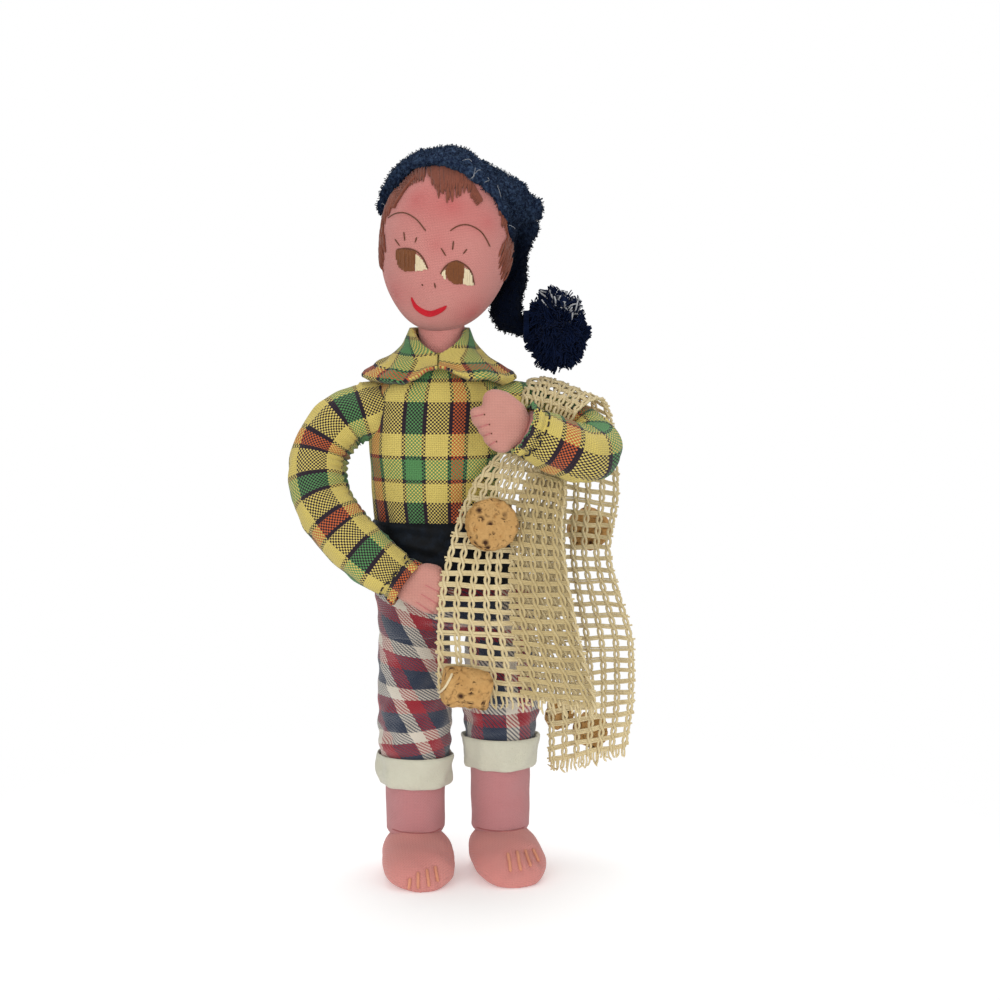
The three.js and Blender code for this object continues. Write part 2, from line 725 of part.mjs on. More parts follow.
function netFlatNormal(share) {
  return netMiddle.getTangent(share).cross(netSpan.getPoint(share)).normalize();
}

function netNormal(across, along) {
  const step = 0.004;
  const sideways = netPoint(across + step, along).sub(netPoint(across - step, along));
  const low = Math.max(along - step, 0);
  const high = Math.min(along + step, 1);
  const forward = netPoint(across, high).sub(netPoint(across, low));
  return forward.cross(sideways).normalize();
}

// Edges of the cords and gaps along one direction, from -1 to 1 or from start to end
function cordEdges(gaps, start, end, cordShare) {
  const edges = [];
  const pitch = (end - start) / gaps;
  for (let i = 0; i <= gaps; i++) {
    const middle = start + i * pitch;
    edges.push(Math.max(middle - cordShare / 2, start), Math.min(middle + cordShare / 2, end));
  }
  return edges;
}

// A panel of crossed cords with open gaps between them
function netPanel(start, end) {
  const rows = Math.round(((end - start) * netMiddle.getLength()) / NET_ROW_PITCH);
  const columns = cordEdges(NET_GAPS_ACROSS, -1, 1, NET_CORD / 16);
  const lines = cordEdges(rows, start, end, NET_CORD / netMiddle.getLength());
  const positions = [];
  const index = [];
  const id = (i, j, top) => (j * columns.length + i) * 2 + (top ? 1 : 0);
  for (const along of lines) {
    for (const across of columns) {
      const point = netPoint(across, along);
      const normal = netNormal(across, along).multiplyScalar(NET_CORD / 2);
      positions.push(...point.clone().sub(normal).toArray(), ...point.add(normal).toArray());
    }
  }
  const isCord = (i, j) =>
    i >= 0 && j >= 0 && i < columns.length - 1 && j < lines.length - 1 && (i % 2 === 0 || j % 2 === 0);
  const quad = (a, b, c, d) => index.push(a, b, c, a, c, d);
  for (let j = 0; j < lines.length - 1; j++) {
    for (let i = 0; i < columns.length - 1; i++) {
      if (!isCord(i, j)) continue;
      const [nextI, nextJ] = [i + 1, j + 1];
      quad(id(i, j, 1), id(i, nextJ, 1), id(nextI, nextJ, 1), id(nextI, j, 1));
      quad(id(i, j, 0), id(nextI, j, 0), id(nextI, nextJ, 0), id(i, nextJ, 0));
      if (!isCord(i - 1, j)) quad(id(i, j, 0), id(i, nextJ, 0), id(i, nextJ, 1), id(i, j, 1));
      if (!isCord(nextI, j)) {
        quad(id(nextI, j, 1), id(nextI, nextJ, 1), id(nextI, nextJ, 0), id(nextI, j, 0));
      }
      if (!isCord(i, j - 1)) quad(id(i, j, 0), id(i, j, 1), id(nextI, j, 1), id(nextI, j, 0));
      if (!isCord(i, nextJ)) {
        quad(id(i, nextJ, 1), id(i, nextJ, 0), id(nextI, nextJ, 0), id(nextI, nextJ, 1));
      }
    }
  }
  return closedGeometry(positions, index);
}

// How far a cork's middle stands off the net, so that it rests on the highest cord under it
function floatReach(centre, normal, axis, { across, along, radius, thick, flat }) {
  let reach = 0;
  for (let i = -10; i <= 10; i++) {
    for (let j = -10; j <= 10; j++) {
      const cord = netPoint(
        THREE.MathUtils.clamp(across + i / 10, -1, 1),
        THREE.MathUtils.clamp(along + j / 200, 0, 1),
      ).sub(centre);
      const height = cord.dot(normal);
      const lateral = cord.addScaledVector(normal, -height);
      const lengthwise = Math.abs(lateral.dot(axis));
      const aside = Math.sqrt(Math.max(lateral.lengthSq() - lengthwise ** 2, 0));
      if (flat && lateral.length() < radius) reach = Math.max(reach, height + thick / 2);
      if (!flat && lengthwise < thick / 2 && aside < radius) {
        reach = Math.max(reach, height + Math.sqrt(radius ** 2 - aside ** 2));
      }
    }
  }
  return reach + NET_CORD / 2 + SEAT_GAP;
}

// A cork with rounded edges
function float(cork) {
  const { across, along, side, radius, thick, flat } = cork;
  const half = thick / 2;
  const profile = [
    [0, -half], [radius - FLOAT_EDGE, -half], [radius, -half + FLOAT_EDGE],
    [radius, half - FLOAT_EDGE], [radius - FLOAT_EDGE, half], [0, half],
  ].map(([x, y]) => new THREE.Vector2(x, y));
  const centre = netPoint(across, along);
  const normal = netNormal(across, along).multiplyScalar(side);
  const sideways = netPoint(across + 0.05, along).sub(netPoint(across - 0.05, along)).normalize();
  const axis = flat ? normal : sideways;
  const turn = new THREE.Quaternion().setFromUnitVectors(new THREE.Vector3(0, 1, 0), axis);
  const reach = floatReach(centre, normal, axis, cork);
  return new THREE.LatheGeometry(profile, 16)
    .applyQuaternion(turn)
    .translate(...centre.addScaledVector(normal, reach).toArray());
}

// The doll

const doll = new THREE.Group();

function add(name, geometry, look) {
  const [color, roughness, metalness] = LOOKS[look];
  const mesh = new THREE.Mesh(geometry, new THREE.MeshStandardMaterial({ color, roughness, metalness }));
  mesh.name = name;
  doll.add(mesh);
}

const sashGap = SEAT_GAP * 2 + Math.max(SHIRT_CLOTH, TROUSER_CLOTH);

add("torso_body", cut(bodyFull, rightTurning, leftTurning, ...hipSockets, spineChannel), "skin");
add("shirt_body", cut(
  bodyShell(TUCK_RISE + SEAT_GAP / 2, bodyTopRise - 1, SEAT_GAP, SHIRT_CLOTH), rightTurning, leftTurning,
), "shirt");
add("collar", collar(), "shirt");
add("sash", bodyShell(SASH_BOTTOM_RISE, SASH_TOP_RISE, sashGap, SASH_CLOTH), "velvet");
add("trouser_seat", cut(
  bodyShell(SEAT_RISE, TUCK_RISE - SEAT_GAP / 2, SEAT_GAP, TROUSER_CLOTH), ...hipSockets,
), "trousers");
add("neck", cut(
  cylinder(NECK_RADIUS, NECK_LENGTH, NECK.clone().setZ(NECK.z + SEAT_GAP)), spineChannel,
), "skin");
add("spine_wire", cylinder(WIRE_RADIUS, wireTop - wireBottom, NECK.clone().setZ(wireBottom), 10), "wire");

add("head", cut(placeOnNeck(headEgg(0)), headBore, spineChannel), "skin");
add("hair", hair(), "yarn");
add("cap", cap(), "wool");
add("cap_tail", capTail(), "wool");
add("pompom_tie", pompomTie(), "wool");
add("pompom", pompom(), "wool");

for (const [side, outline] of [["right", RIGHT_HAND_OUTLINE], ["left", LEFT_HAND_OUTLINE]]) {
  const arm = armSides[side];
  add(`${side}_arm`, stuffedArm(arm), "skin");
  add(`${side}_sleeve`, sleeve(arm), "shirt");
  add(`${side}_hand`, hand(arm, outline), "skin");
  add(`${side}_arm_wire`, rod(armWirePath(arm, 0.14, 0.99), WIRE_RADIUS, 10, 6), "wire");
}

for (const [side, leg] of Object.entries(LEG_SIDES)) {
  add(`${side}_leg`, stuffedLeg(leg), "skin");
  add(`${side}_foot`, foot(leg), "skin");
  add(`${side}_trouser_leg`, trouserLeg(leg), "trousers");
  add(`${side}_cuff`, cuff(leg), "felt");
  const wireStart = leg.hip.clone().setZ(HIP_HEIGHT - SEAT_GAP);
  const wireEnd = leg.ankle.clone().setZ(INSTEP_HEIGHT + 2);
  add(`${side}_leg_wire`, rod([wireStart, wireEnd], WIRE_RADIUS, 2), "wire");
}

const netSeam = SEAT_GAP / netMiddle.getLength() / 2;
add("net_front", netPanel(0, NET_CROOK - netSeam), "net");
add("net_saddle", netPanel(NET_CROOK + netSeam, NET_BEHIND - netSeam), "net");
add("net_back", netPanel(NET_BEHIND + netSeam, 1), "net");
for (const [name, cork] of Object.entries(FLOATS)) add(name, float(cork), "cork");

// The frame's origin is under the middle of the doll's box, on the ground.
const bounds = new THREE.Box3().setFromObject(doll);
const middle = bounds.getCenter(new THREE.Vector3());
doll.position.set(-middle.x, -middle.y, -bounds.min.z);

const part = new THREE.Group();
part.add(doll);

export default part;
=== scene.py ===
"""Looks for a cloth fisherman doll: its stuffed cotton, woven checks, boiled wool, net and corks.

Lengths in the making are millimetres in the doll's own frame, and become metres in the mesh.
"""

import json
import math
from functools import partialmethod

import bmesh
import bpy
import numpy as np
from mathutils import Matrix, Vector
from mathutils.bvhtree import BVHTree


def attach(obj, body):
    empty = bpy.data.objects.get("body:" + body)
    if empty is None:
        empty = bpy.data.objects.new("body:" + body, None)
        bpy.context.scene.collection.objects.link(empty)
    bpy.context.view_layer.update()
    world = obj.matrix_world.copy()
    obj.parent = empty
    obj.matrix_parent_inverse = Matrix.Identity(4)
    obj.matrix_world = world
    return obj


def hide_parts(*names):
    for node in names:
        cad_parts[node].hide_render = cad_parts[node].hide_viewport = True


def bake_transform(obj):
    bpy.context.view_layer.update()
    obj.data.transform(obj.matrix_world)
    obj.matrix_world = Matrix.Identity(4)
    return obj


bl_info = {
    "name": "Cloth Fisherman Doll",
    "version": (1, 0, 0),
    "blender": (4, 5, 0),
    "location": "View3D > Sidebar > Doll",
    "description": "Dresses the packed doll in cloth, wool, net and cork",
    "category": "Object",
}

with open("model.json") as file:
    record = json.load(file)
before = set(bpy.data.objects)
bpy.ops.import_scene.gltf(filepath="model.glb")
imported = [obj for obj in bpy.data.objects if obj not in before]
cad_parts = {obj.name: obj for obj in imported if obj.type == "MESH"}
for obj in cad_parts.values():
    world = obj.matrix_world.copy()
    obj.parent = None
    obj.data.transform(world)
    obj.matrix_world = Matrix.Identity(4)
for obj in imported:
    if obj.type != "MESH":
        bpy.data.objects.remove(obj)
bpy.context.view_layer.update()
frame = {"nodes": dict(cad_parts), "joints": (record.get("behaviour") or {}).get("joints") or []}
MM = 0.001

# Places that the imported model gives
JOINTS = {joint["name"]: np.array(joint["pos_m"]) / MM for joint in frame["joints"]}
RIGHT_SHOULDER = np.array([-27.0, 0.0, 155.0])
ORIGIN = JOINTS["right_shoulder"] - RIGHT_SHOULDER
LEFT_SHOULDER = JOINTS["left_shoulder"] - ORIGIN
HIPS = {side: JOINTS[f"{side}_hip"] - ORIGIN for side in ("right", "left")}

# Camera of the photograph
CAMERA_PLACE = np.array([14.8, -600.0, 200.0])
CAMERA_PITCH = math.radians(7.12)
PHOTO_PIXELS = 1000
FOCAL_PIXELS = 1829.7
SENSOR_WIDTH = 36.0
CAMERA_TO_DOLL = 0.59  # metres, about

# Body and head, as in the part's source
HIP_HEIGHT = 84.0
BODY_TOP = 174.0
# Height above the hips, middle, half width and half depth
BODY_SECTIONS = np.array([
    [3, 0.6, 23.6, 12.2], [9, 0.3, 25.2, 12.8], [16, -1.6, 23.6, 12.6], [24, -4.2, 20.6, 12.2],
    [33, -6, 18.6, 11.8], [45, -6.5, 19.4, 12.2], [57, -6.5, 20.4, 12.4], [69, -6, 20.8, 11.8],
    [77, -5.5, 20, 10.4], [83, -5, 14.4, 9], [88, -4.6, 8.8, 7.6], [90, -4.3, 6.6, 6.4],
])
NECK = np.array([-4.3, -1.0, BODY_TOP])
HEAD = np.array([-2.6, -1.0, 208.5])
HEAD_HALF = np.array([21.4, 19.0, 28.0])
HEAD_TILT = math.radians(5)
HEAD_TURN = math.radians(-10)
CAP_EDGE = np.array([0.0, -2.5, 8.4])
CAP_EDGE_LEAN = math.radians(29)
CAP_EDGE_SKEW = math.radians(-11)
CAP_NAPE = (-5.0, -0.577)  # height of the cap's lower edge behind, and its slope sideways
POMPOM = HEAD + np.array([36.4, 13.0, -27.6])
POMPOM_HALF = np.array([11.4, 11.5, 14.6])
# Height above the body's top, half width and half depth
COLLAR_SECTIONS = np.array([
    [7, 8.6, 8.8], [1.6, 11, 10.6], [-3.4, 16.4, 13], [-8, 23, 15.6], [-9.6, 23, 15.6],
])
# Radius at which the cloth round each is measured
CLOTH_RADII = {"body": 20, "head": 20, "arm": 8, "sleeve": 9.3, "neck": 7, "leg": 10, "cuff": 13}

# Arms and net, as offsets from the shoulders
RIGHT_ARM = [
    [0, 0, 0], [-10, -1.5, -4], [-17, -4, -14], [-17, -8.5, -25.5], [-10.5, -14, -36.5],
    [-0.5, -18.5, -46], [11, -21, -54],
]
RIGHT_ARM_RADII = [8, 7.8, 7.9, 8, 8, 7.6, 5.8]
LEFT_ARM = [
    [0, 0, 0], [10, 4, -2], [18.5, 5.5, -5.5], [26, 1.5, -10], [27.5, -7.5, -13], [22, -15.5, -13],
    [13.5, -20, -9], [5, -23, -4.5],
]
LEFT_ARM_RADII = [8, 7.6, 7.4, 7.8, 8, 7.8, 7.5, 6.6]
NET_PATH = [
    [3.5, -22.5, -92.5], [-0.7, -23, -59], [0.5, -20.5, -36], [4, -13.6, -24], [10.5, -7, -9],
    [13.5, -7, 2.6], [19, 5.2, 8], [21.5, 15.6, -4], [23.2, 17.4, -28], [22.4, 17, -51],
    [27, 16.5, -80], [28.5, 15.4, -103], [27.5, 14, -121],
]
NET_HALF_SPANS = [
    [25.5, 3.5, -4], [20.8, 3, -1], [16, 3.5, -2], [14, 2, -2.5], [6, 2.6, -2.6],
    [8, 1.4, -3], [12, -1.6, -5], [14, -0.5, -5], [13.6, -1, -2], [11.6, -1, 0],
    [15.5, -1, 0], [14, -1, 2], [12.5, -1, 3],
]
FLOATS = [
    "float_front_top", "float_front_corner", "float_back_side", "float_back_inner", "float_back_corner",
]

# Woven checks: bands as (colour name, width in mm)
SHIRT_WARP = [
    ("yellow", 7.1), ("plum", 1.15), ("orange", 4.2), ("plum", 1.3),
    ("yellow", 7.2), ("plum", 1.2), ("green", 5.6), ("plum", 1.3),
]
SHIRT_WEFT = [
    ("yellow", 6.1), ("plum", 1.3), ("green", 6.5), ("plum", 1.1), ("yellow", 7.1), ("plum", 10.4),
]
TROUSER_WARP = [("red", 5.2), ("slate", 8.2), ("white", 4.6)]
TROUSER_WEFT = [("red", 4.4), ("slate", 6.2), ("white", 3.8)]
# Where the check starts on the shirt: distance round from the seam behind, and height
SHIRT_START = (-1.5, 125.8)


def linear(red, green, blue):
    """A colour from 0 to 255 in each channel, as the linear values that Blender mixes."""
    shares = np.array([red, green, blue]) / 255
    low = shares / 12.92
    high = ((shares + 0.055) / 1.055) ** 2.4
    return tuple(float(value) for value in np.where(shares <= 0.04045, low, high))


CHECK_COLOURS = {
    "yellow": linear(217, 196, 106),
    "plum": linear(38, 24, 36),
    "orange": linear(197, 97, 53),
    "green": linear(84, 140, 84),
    "red": linear(156, 20, 38),
    "slate": linear(36, 48, 70),
    "white": linear(222, 212, 195),
}

# Lit and shaded colour of each plain thread, from 0 to 255
THREAD_COLOURS = {
    "brown_thread": ((122, 72, 44), (70, 38, 24)),
    "black_thread": ((36, 28, 34), (12, 9, 12)),
    "peach_thread": ((226, 164, 128), (186, 112, 92)),
    "rose_thread": ((172, 102, 100), (140, 76, 76)),
    "pink_thread": ((214, 140, 136), (172, 96, 96)),
    "iris_thread": ((146, 90, 50), (92, 52, 30)),
    "cream_thread": ((240, 228, 196), (206, 186, 150)),
    "red_thread": ((220, 26, 44), (160, 12, 30)),
    "lint": ((214, 214, 212), (120, 126, 136)),
    "tie_thread": ((238, 226, 192), (196, 172, 124)),
}


def size_setting(label, text, default, least):
    """A size that the panel offers."""
    return bpy.props.FloatProperty(name=label, description=text, default=default, min=least)


def colour_setting(label, text, red, green, blue):
    """A colour that the panel offers."""
    default = linear(red, green, blue)
    return bpy.props.FloatVectorProperty(name=label, description=text, subtype="COLOR", default=default)


class DollSizes(bpy.types.PropertyGroup):
    """Sizes of the doll's threads, folds and nap."""

    shirt_thread: size_setting("Shirt thread", "Spacing of the shirt's woven threads in mm", 0.6, 0.2)
    trouser_thread: size_setting("Trouser thread", "Spacing of the flannel's threads in mm", 0.4, 0.2)
    skin_thread: size_setting("Skin thread", "Spacing of the pink cotton's threads in mm", 0.5, 0.2)
    shirt_cloth: size_setting("Shirt cloth", "Thickness of the shirt in mm", 1.0, 0.2)
    fold_depth: size_setting("Fold depth", "Depth of the folds in sleeves and trousers in mm", 0.55, 0)
    nap_length: size_setting("Nap length", "Length of the cap's wool nap in mm", 0.75, 0.1)
    nap_density: size_setting("Nap density", "Wool fibres to each square millimetre", 1.15, 0)
    net_thread: size_setting("Net thread", "Radius of one thread of the net in mm", 0.5, 0.1)
    net_columns: bpy.props.IntProperty(
        name="Net columns", description="Twisted pairs of threads across the net", default=10, min=3
    )
    net_row_pitch: size_setting("Net row pitch", "Distance between the net's cross threads in mm", 3.95, 1)


class DollColours(bpy.types.PropertyGroup):
    """Colours of the doll's plain materials."""

    skin: colour_setting("Skin", "Pink cotton", 210, 141, 133)
    blush: colour_setting("Blush", "Rouge on the cheeks", 198, 92, 91)
    hair: colour_setting("Hair", "Brown hair thread", 150, 86, 66)
    wool: colour_setting("Wool", "Navy wool of the cap", 22, 33, 58)
    sash: colour_setting("Sash", "Dark velvet", 6, 8, 11)
    felt: colour_setting("Felt", "Trouser cuffs", 205, 203, 184)
    net: colour_setting("Net", "Unbleached cotton net", 238, 224, 182)
    palm: colour_setting("Palm", "Paler cotton of the hands", 210, 151, 137)
    shin: colour_setting("Shin", "Cooler cotton of the legs", 188, 130, 131)
    cork: colour_setting("Cork", "Cork floats", 186, 140, 82)


class Value:
    """A number socket of a material, so that shader maths reads as plain expressions."""

    def __init__(self, finish, socket):
        self.finish = finish
        self.socket = socket

    def maths(self, operation, *operands):
        node = self.finish.node("ShaderNodeMath", dict(enumerate(operands)), operation=operation)
        return Value(self.finish, node.outputs[0])

    def on_self(self, operation, *others):
        return self.maths(operation, self, *others)

    __add__ = __radd__ = partialmethod(on_self, "ADD")
    __sub__ = partialmethod(on_self, "SUBTRACT")
    __mul__ = __rmul__ = partialmethod(on_self, "MULTIPLY")
    __truediv__ = partialmethod(on_self, "DIVIDE")
    __lt__ = partialmethod(on_self, "LESS_THAN")
    __gt__ = partialmethod(on_self, "GREATER_THAN")
    floor = partialmethod(on_self, "FLOOR")
    fraction = partialmethod(on_self, "FRACT")
    sine = partialmethod(on_self, "SINE")

    def __rsub__(self, other):
        return self.maths("SUBTRACT", other, self)

    def within(self, low, high):
        return self.maths("MINIMUM", self.maths("MAXIMUM", self, low), high)


def add_node(tree, kind, sockets, **settings):
    """A new node with its settings, each of its named sockets linked or set."""
    made = tree.nodes.new(kind)
    for name, value in settings.items():
        setattr(made, name, value)
    for name, value in sockets.items():
        source = value.socket if isinstance(value, Value) else value
        if isinstance(source, bpy.types.NodeSocket):
            tree.links.new(source, made.inputs[name])
        else:
            made.inputs[name].default_value = source
    return made


def opaque(colour):
    """A colour with full alpha; a socket stays as it is."""
    if isinstance(colour, bpy.types.NodeSocket):
        return colour
    return (*tuple(colour)[:3], 1.0)


class Finish:
    """A material in the making, on one Principled shader."""

    def __init__(self, name, plain):
        self.material = bpy.data.materials.new(name)
        self.material.use_nodes = True
        self.tree = self.material.node_tree
        self.shader = self.tree.nodes["Principled BSDF"]
        for socket, value in plain.items():
            self.shader.inputs[socket].default_value = value

    def node(self, kind, sockets, **settings):
        return add_node(self.tree, kind, sockets, **settings)

    def cloth_place(self):
        """The cloth's own coordinates, in millimetres round and along the piece."""
        spread = self.node("ShaderNodeUVMap", {}, uv_map="cloth")
        parts = self.node("ShaderNodeSeparateXYZ", {0: spread.outputs[0]})
        return Value(self, parts.outputs[0]), Value(self, parts.outputs[1])

    def place(self):
        return self.node("ShaderNodeTexCoord", {}).outputs["Object"]

    def noise(self, size, detail=2.0, roughness=0.5, distortion=0.0):
        """Noise from 0 to 1 whose lumps are about `size` millimetres wide."""
        sockets = {"Vector": self.place(), "Scale": 1 / (size * MM), "Detail": detail}
        sockets.update({"Roughness": roughness, "Distortion": distortion})
        return Value(self, self.node("ShaderNodeTexNoise", sockets).outputs["Fac"])

    def cells(self, size):
        """Distance from the nearest of many points about `size` millimetres apart, as a share of it."""
        sockets = {"Vector": self.place(), "Scale": 1 / (size * MM)}
        return Value(self, self.node("ShaderNodeTexVoronoi", sockets).outputs["Distance"])

    def distance(self, point):
        """Distance in millimetres from a point of the doll."""
        sockets = {0: self.place(), 1: tuple(in_frame(point))}
        gap = self.node("ShaderNodeVectorMath", sockets, operation="DISTANCE").outputs["Value"]
        return Value(self, gap) / MM

    def mix(self, share, first, second, blend="MIX"):
        """The second colour over the first, by a share from 0 to 1."""
        sockets = {"Factor": share, 6: opaque(first), 7: opaque(second)}
        return self.node("ShaderNodeMix", sockets, data_type="RGBA", blend_type=blend).outputs[2]

    def bands(self, place, bands):
        """The colour of a repeating run of woven bands at a place along it."""
        period = sum(width for _, width in bands)
        made = self.node("ShaderNodeValToRGB", {0: (place / period).fraction()})
        made.color_ramp.interpolation = "CONSTANT"
        elements = made.color_ramp.elements
        while len(elements) < len(bands):
            elements.new(1.0)
        start = 0.0
        for element, (colour, width) in zip(elements, bands):
            element.position = start / period
            element.color = opaque(CHECK_COLOURS[colour])
            start += width
        return made.outputs[0]

    def shaded(self, colour, value):
        """A colour darkened by a value from 0 to 1."""
        grey = self.node("ShaderNodeCombineXYZ", {0: value, 1: value, 2: value}).outputs[0]
        return self.mix(1.0, colour, grey, "MULTIPLY")

    def bump(self, height, depth):
        """Relief in the shading alone, `depth` millimetres deep."""
        sockets = {"Height": height, "Distance": depth * MM, "Strength": 1.0}
        self.feed("Normal", self.node("ShaderNodeBump", sockets).outputs[0])

    def feed(self, socket, value):
        source = value.socket if isinstance(value, Value) else value
        self.tree.links.new(source, self.shader.inputs[socket])


def weave(finish, pitch, twill):
    """Height of the threads, and whether the warp lies on top, for a plain or twill cloth."""
    across, along = finish.cloth_place()
    columns = across / pitch
    rows = along / pitch
    step = columns.floor() - rows.floor()
    # A twill repeats over four threads with two on top, a plain weave over two with one
    over = (step * 0.25).fraction() < 0.4 if twill else (step * 0.5).fraction() < 0.25
    warp_round = (columns.fraction() * math.pi).sine()
    weft_round = (rows.fraction() * math.pi).sine()
    height = over * warp_round + (1 - over) * weft_round
    return across, along, over, height


def checked_cotton(name, warp, weft, pitch, twill=False, brushed=0.0):
    """A yarn-dyed check: each crossing shows the thread that lies on top."""
    finish = Finish(name, {"Roughness": 0.9, "Sheen Weight": 0.15 + brushed, "Specular IOR Level": 0.2})
    across, along, over, height = weave(finish, pitch, twill)
    upright = finish.bands(across, warp)
    level = finish.bands(along, weft)
    threads = finish.mix(over, level, upright)
    if brushed:
        blurred = finish.mix(0.5, level, upright)
        threads = finish.mix(0.2 + finish.noise(1.6) * 0.2, threads, blurred)
    light = 0.68 + height * 0.26 + finish.noise(3.5, 3) * 0.14
    finish.feed("Base Color", finish.shaded(threads, light.within(0, 1)))
    finish.bump(height + finish.noise(0.7) * (0.3 + brushed), 0.14)
    return finish.material


def pink_cotton(name, colour, blush, pitch, rouge=()):
    """Plain-woven pink cotton, with rouge about the points given as (place, reach, strength); on the
    forehead the rouge is also painted shade.
    """
    finish = Finish(name, {"Roughness": 0.85, "Sheen Weight": 0.2, "Specular IOR Level": 0.25})
    _, _, _, height = weave(finish, pitch, False)
    share = finish.noise(9, 3) * 0.3
    for point, reach, strength in rouge:
        near = (1 - finish.distance(point) / reach).within(0, 1)
        share = share + near * near * strength
    tone = finish.mix((share - 0.06).within(0, 1), colour, blush)
    light = 0.81 + height * 0.17 + finish.noise(2.2, 3) * 0.08
    finish.feed("Base Color", finish.shaded(tone, light.within(0, 1)))
    finish.bump(height + finish.noise(1.2) * 0.5, 0.12)
    return finish.material


def soft_felt(name, colour, shade):
    finish = Finish(name, {"Roughness": 0.95, "Sheen Weight": 0.35, "Specular IOR Level": 0.1})
    matted = finish.noise(1.1, 5, 0.7, 1.5)
    tone = finish.mix(finish.noise(6, 3) * 0.5 + matted * 0.3, colour, shade)
    finish.feed("Base Color", tone)
    finish.bump(matted + finish.noise(0.35, 2) * 0.5, 0.35)
    return finish.material


def boiled_wool(name, colour, top_height):
    """Matted navy wool with painted light: paler blue-grey tufts of painted highlight on top, and painted
    shade near black lower down.
    """
    finish = Finish(name, {"Roughness": 1.0, "Sheen Weight": 0.02, "Specular IOR Level": 0.03})
    parts = finish.node("ShaderNodeSeparateXYZ", {0: finish.place()})
    # Painted light: the wool is drawn as lit above top_height, and more so towards the +x side.
    rise = (Value(finish, parts.outputs[2]) / MM - top_height) / 30
    aside = (Value(finish, parts.outputs[0]) / MM + 26 - ORIGIN[0]) / 30
    tufts = finish.noise(1.1, 4, 0.7)
    lit = (rise.within(0, 1) * 0.8 + aside.within(0, 1) * rise.within(0, 0.35)).within(0, 1)
    # Painted highlight: paler blue-grey tufts, only where the wool is painted as lit.
    painted_highlight = lit * (tufts * 3.6 - 1.5).within(0, 1) * 0.6
    # Painted shade: near black wherever the wool is not painted as lit.
    shadow = tuple(channel * 0.12 for channel in colour)
    dark = finish.mix(lit * 0.7 + finish.noise(4, 3) * 0.3, shadow, colour)
    finish.feed("Base Color", finish.mix(painted_highlight, dark, linear(84, 108, 138)))
    finish.bump(tufts + finish.noise(0.4, 2) * 0.6, 0.5)
    return finish.material


def velvet(name, colour):
    """Dark pile with a bluish bloom, and paler bluish streaks of painted sheen laid at random."""
    plain = {"Roughness": 0.7, "Sheen Weight": 0.4, "Sheen Roughness": 0.3, "Specular IOR Level": 0.15}
    finish = Finish(name, {**plain, "Sheen Tint": opaque(linear(90, 120, 170))})
    pile = finish.noise(0.6, 4, 0.6)
    # Painted sheen: paler bluish streaks laid at random over the pile.
    sheen_streak = (finish.noise(3.2, 3) * 1.8 - 0.7).within(0, 1)
    finish.feed("Base Color", finish.mix(sheen_streak * pile, colour, linear(34, 46, 62)))
    finish.bump(pile, 0.2)
    return finish.material


def spun_thread(name, colour, shade, strand=0.5, gloss=0.2):
    """Twisted cotton or wool thread, with painted shade between its fibres."""
    finish = Finish(name, {"Roughness": 0.85, "Sheen Weight": gloss, "Specular IOR Level": gloss})
    fibres = finish.noise(strand, 3, 0.6)
    tone = finish.mix((finish.noise(5, 2) * 0.5 + fibres * 0.6 - 0.1).within(0, 1), shade, colour)
    finish.feed("Base Color", tone)
    finish.bump(fibres, 0.12)
    return finish.material


def raw_cork(name, colour):
    """Tan cork with dark pits and cracks."""
    finish = Finish(name, {"Roughness": 0.8, "Specular IOR Level": 0.2})
    grain = finish.noise(1.3, 5, 0.65, 0.6)
    pale = finish.mix(grain, tuple(channel * 0.6 for channel in colour), linear(226, 184, 122))
    base = finish.mix(finish.noise(5, 2), colour, pale)
    pits = (0.5 - finish.cells(2.8)).within(0, 1) * (finish.noise(3.4, 2) > 0.52)
    crack = (finish.noise(2.4, 6, 0.72, 2.4) - 0.585).within(0, 1) * 6
    dark = (pits * 3 + crack).within(0, 1)
    finish.feed("Base Color", finish.mix(dark, base, linear(56, 32, 18)))
    finish.bump(grain * 0.6 - dark, 0.5)
    return finish.material


def soft_wire(name):
    """Drawn grey metal."""
    finish = Finish(name, {"Metallic": 1.0, "Base Color": opaque(linear(170, 170, 172))})
    drawn = finish.noise(0.5, 3)
    finish.feed("Roughness", 0.3 + drawn * 0.25)
    finish.bump(drawn, 0.05)
    return finish.material


def unit(vectors):
    """Vectors of length one."""
    vectors = np.asarray(vectors, float)
    return vectors / np.maximum(np.linalg.norm(vectors, axis=-1, keepdims=True), 1e-9)


def smooth_curve(points, per_span=24):
    """A centripetal curve through the points, and each step's place among them."""
    points = np.asarray(points, float)
    ends = np.vstack([2 * points[0] - points[1], points, 2 * points[-1] - points[-2]])
    steps = np.maximum(np.linalg.norm(np.diff(ends, axis=0), axis=1), 1e-6) ** 0.5
    line = []
    place = []
    for i in range(len(points) - 1):
        first, second, third, fourth = ends[i : i + 4]
        knot = np.concatenate([[0], np.cumsum(steps[i : i + 3])])
        time = np.linspace(knot[1], knot[2], per_span, endpoint=False)[:, None]

        def between(low, high, start, end):
            share = (time - knot[start]) / (knot[end] - knot[start])
            return (1 - share) * low + share * high

        near = between(between(first, second, 0, 1), between(second, third, 1, 2), 0, 2)
        far = between(between(second, third, 1, 2), between(third, fourth, 2, 3), 1, 3)
        line.append(between(near, far, 1, 2))
        place.append(i + (time[:, 0] - knot[1]) / (knot[2] - knot[1]))
    line.append(points[-1:])
    place.append([len(points) - 1])
    return np.concatenate(line), np.concatenate(place)


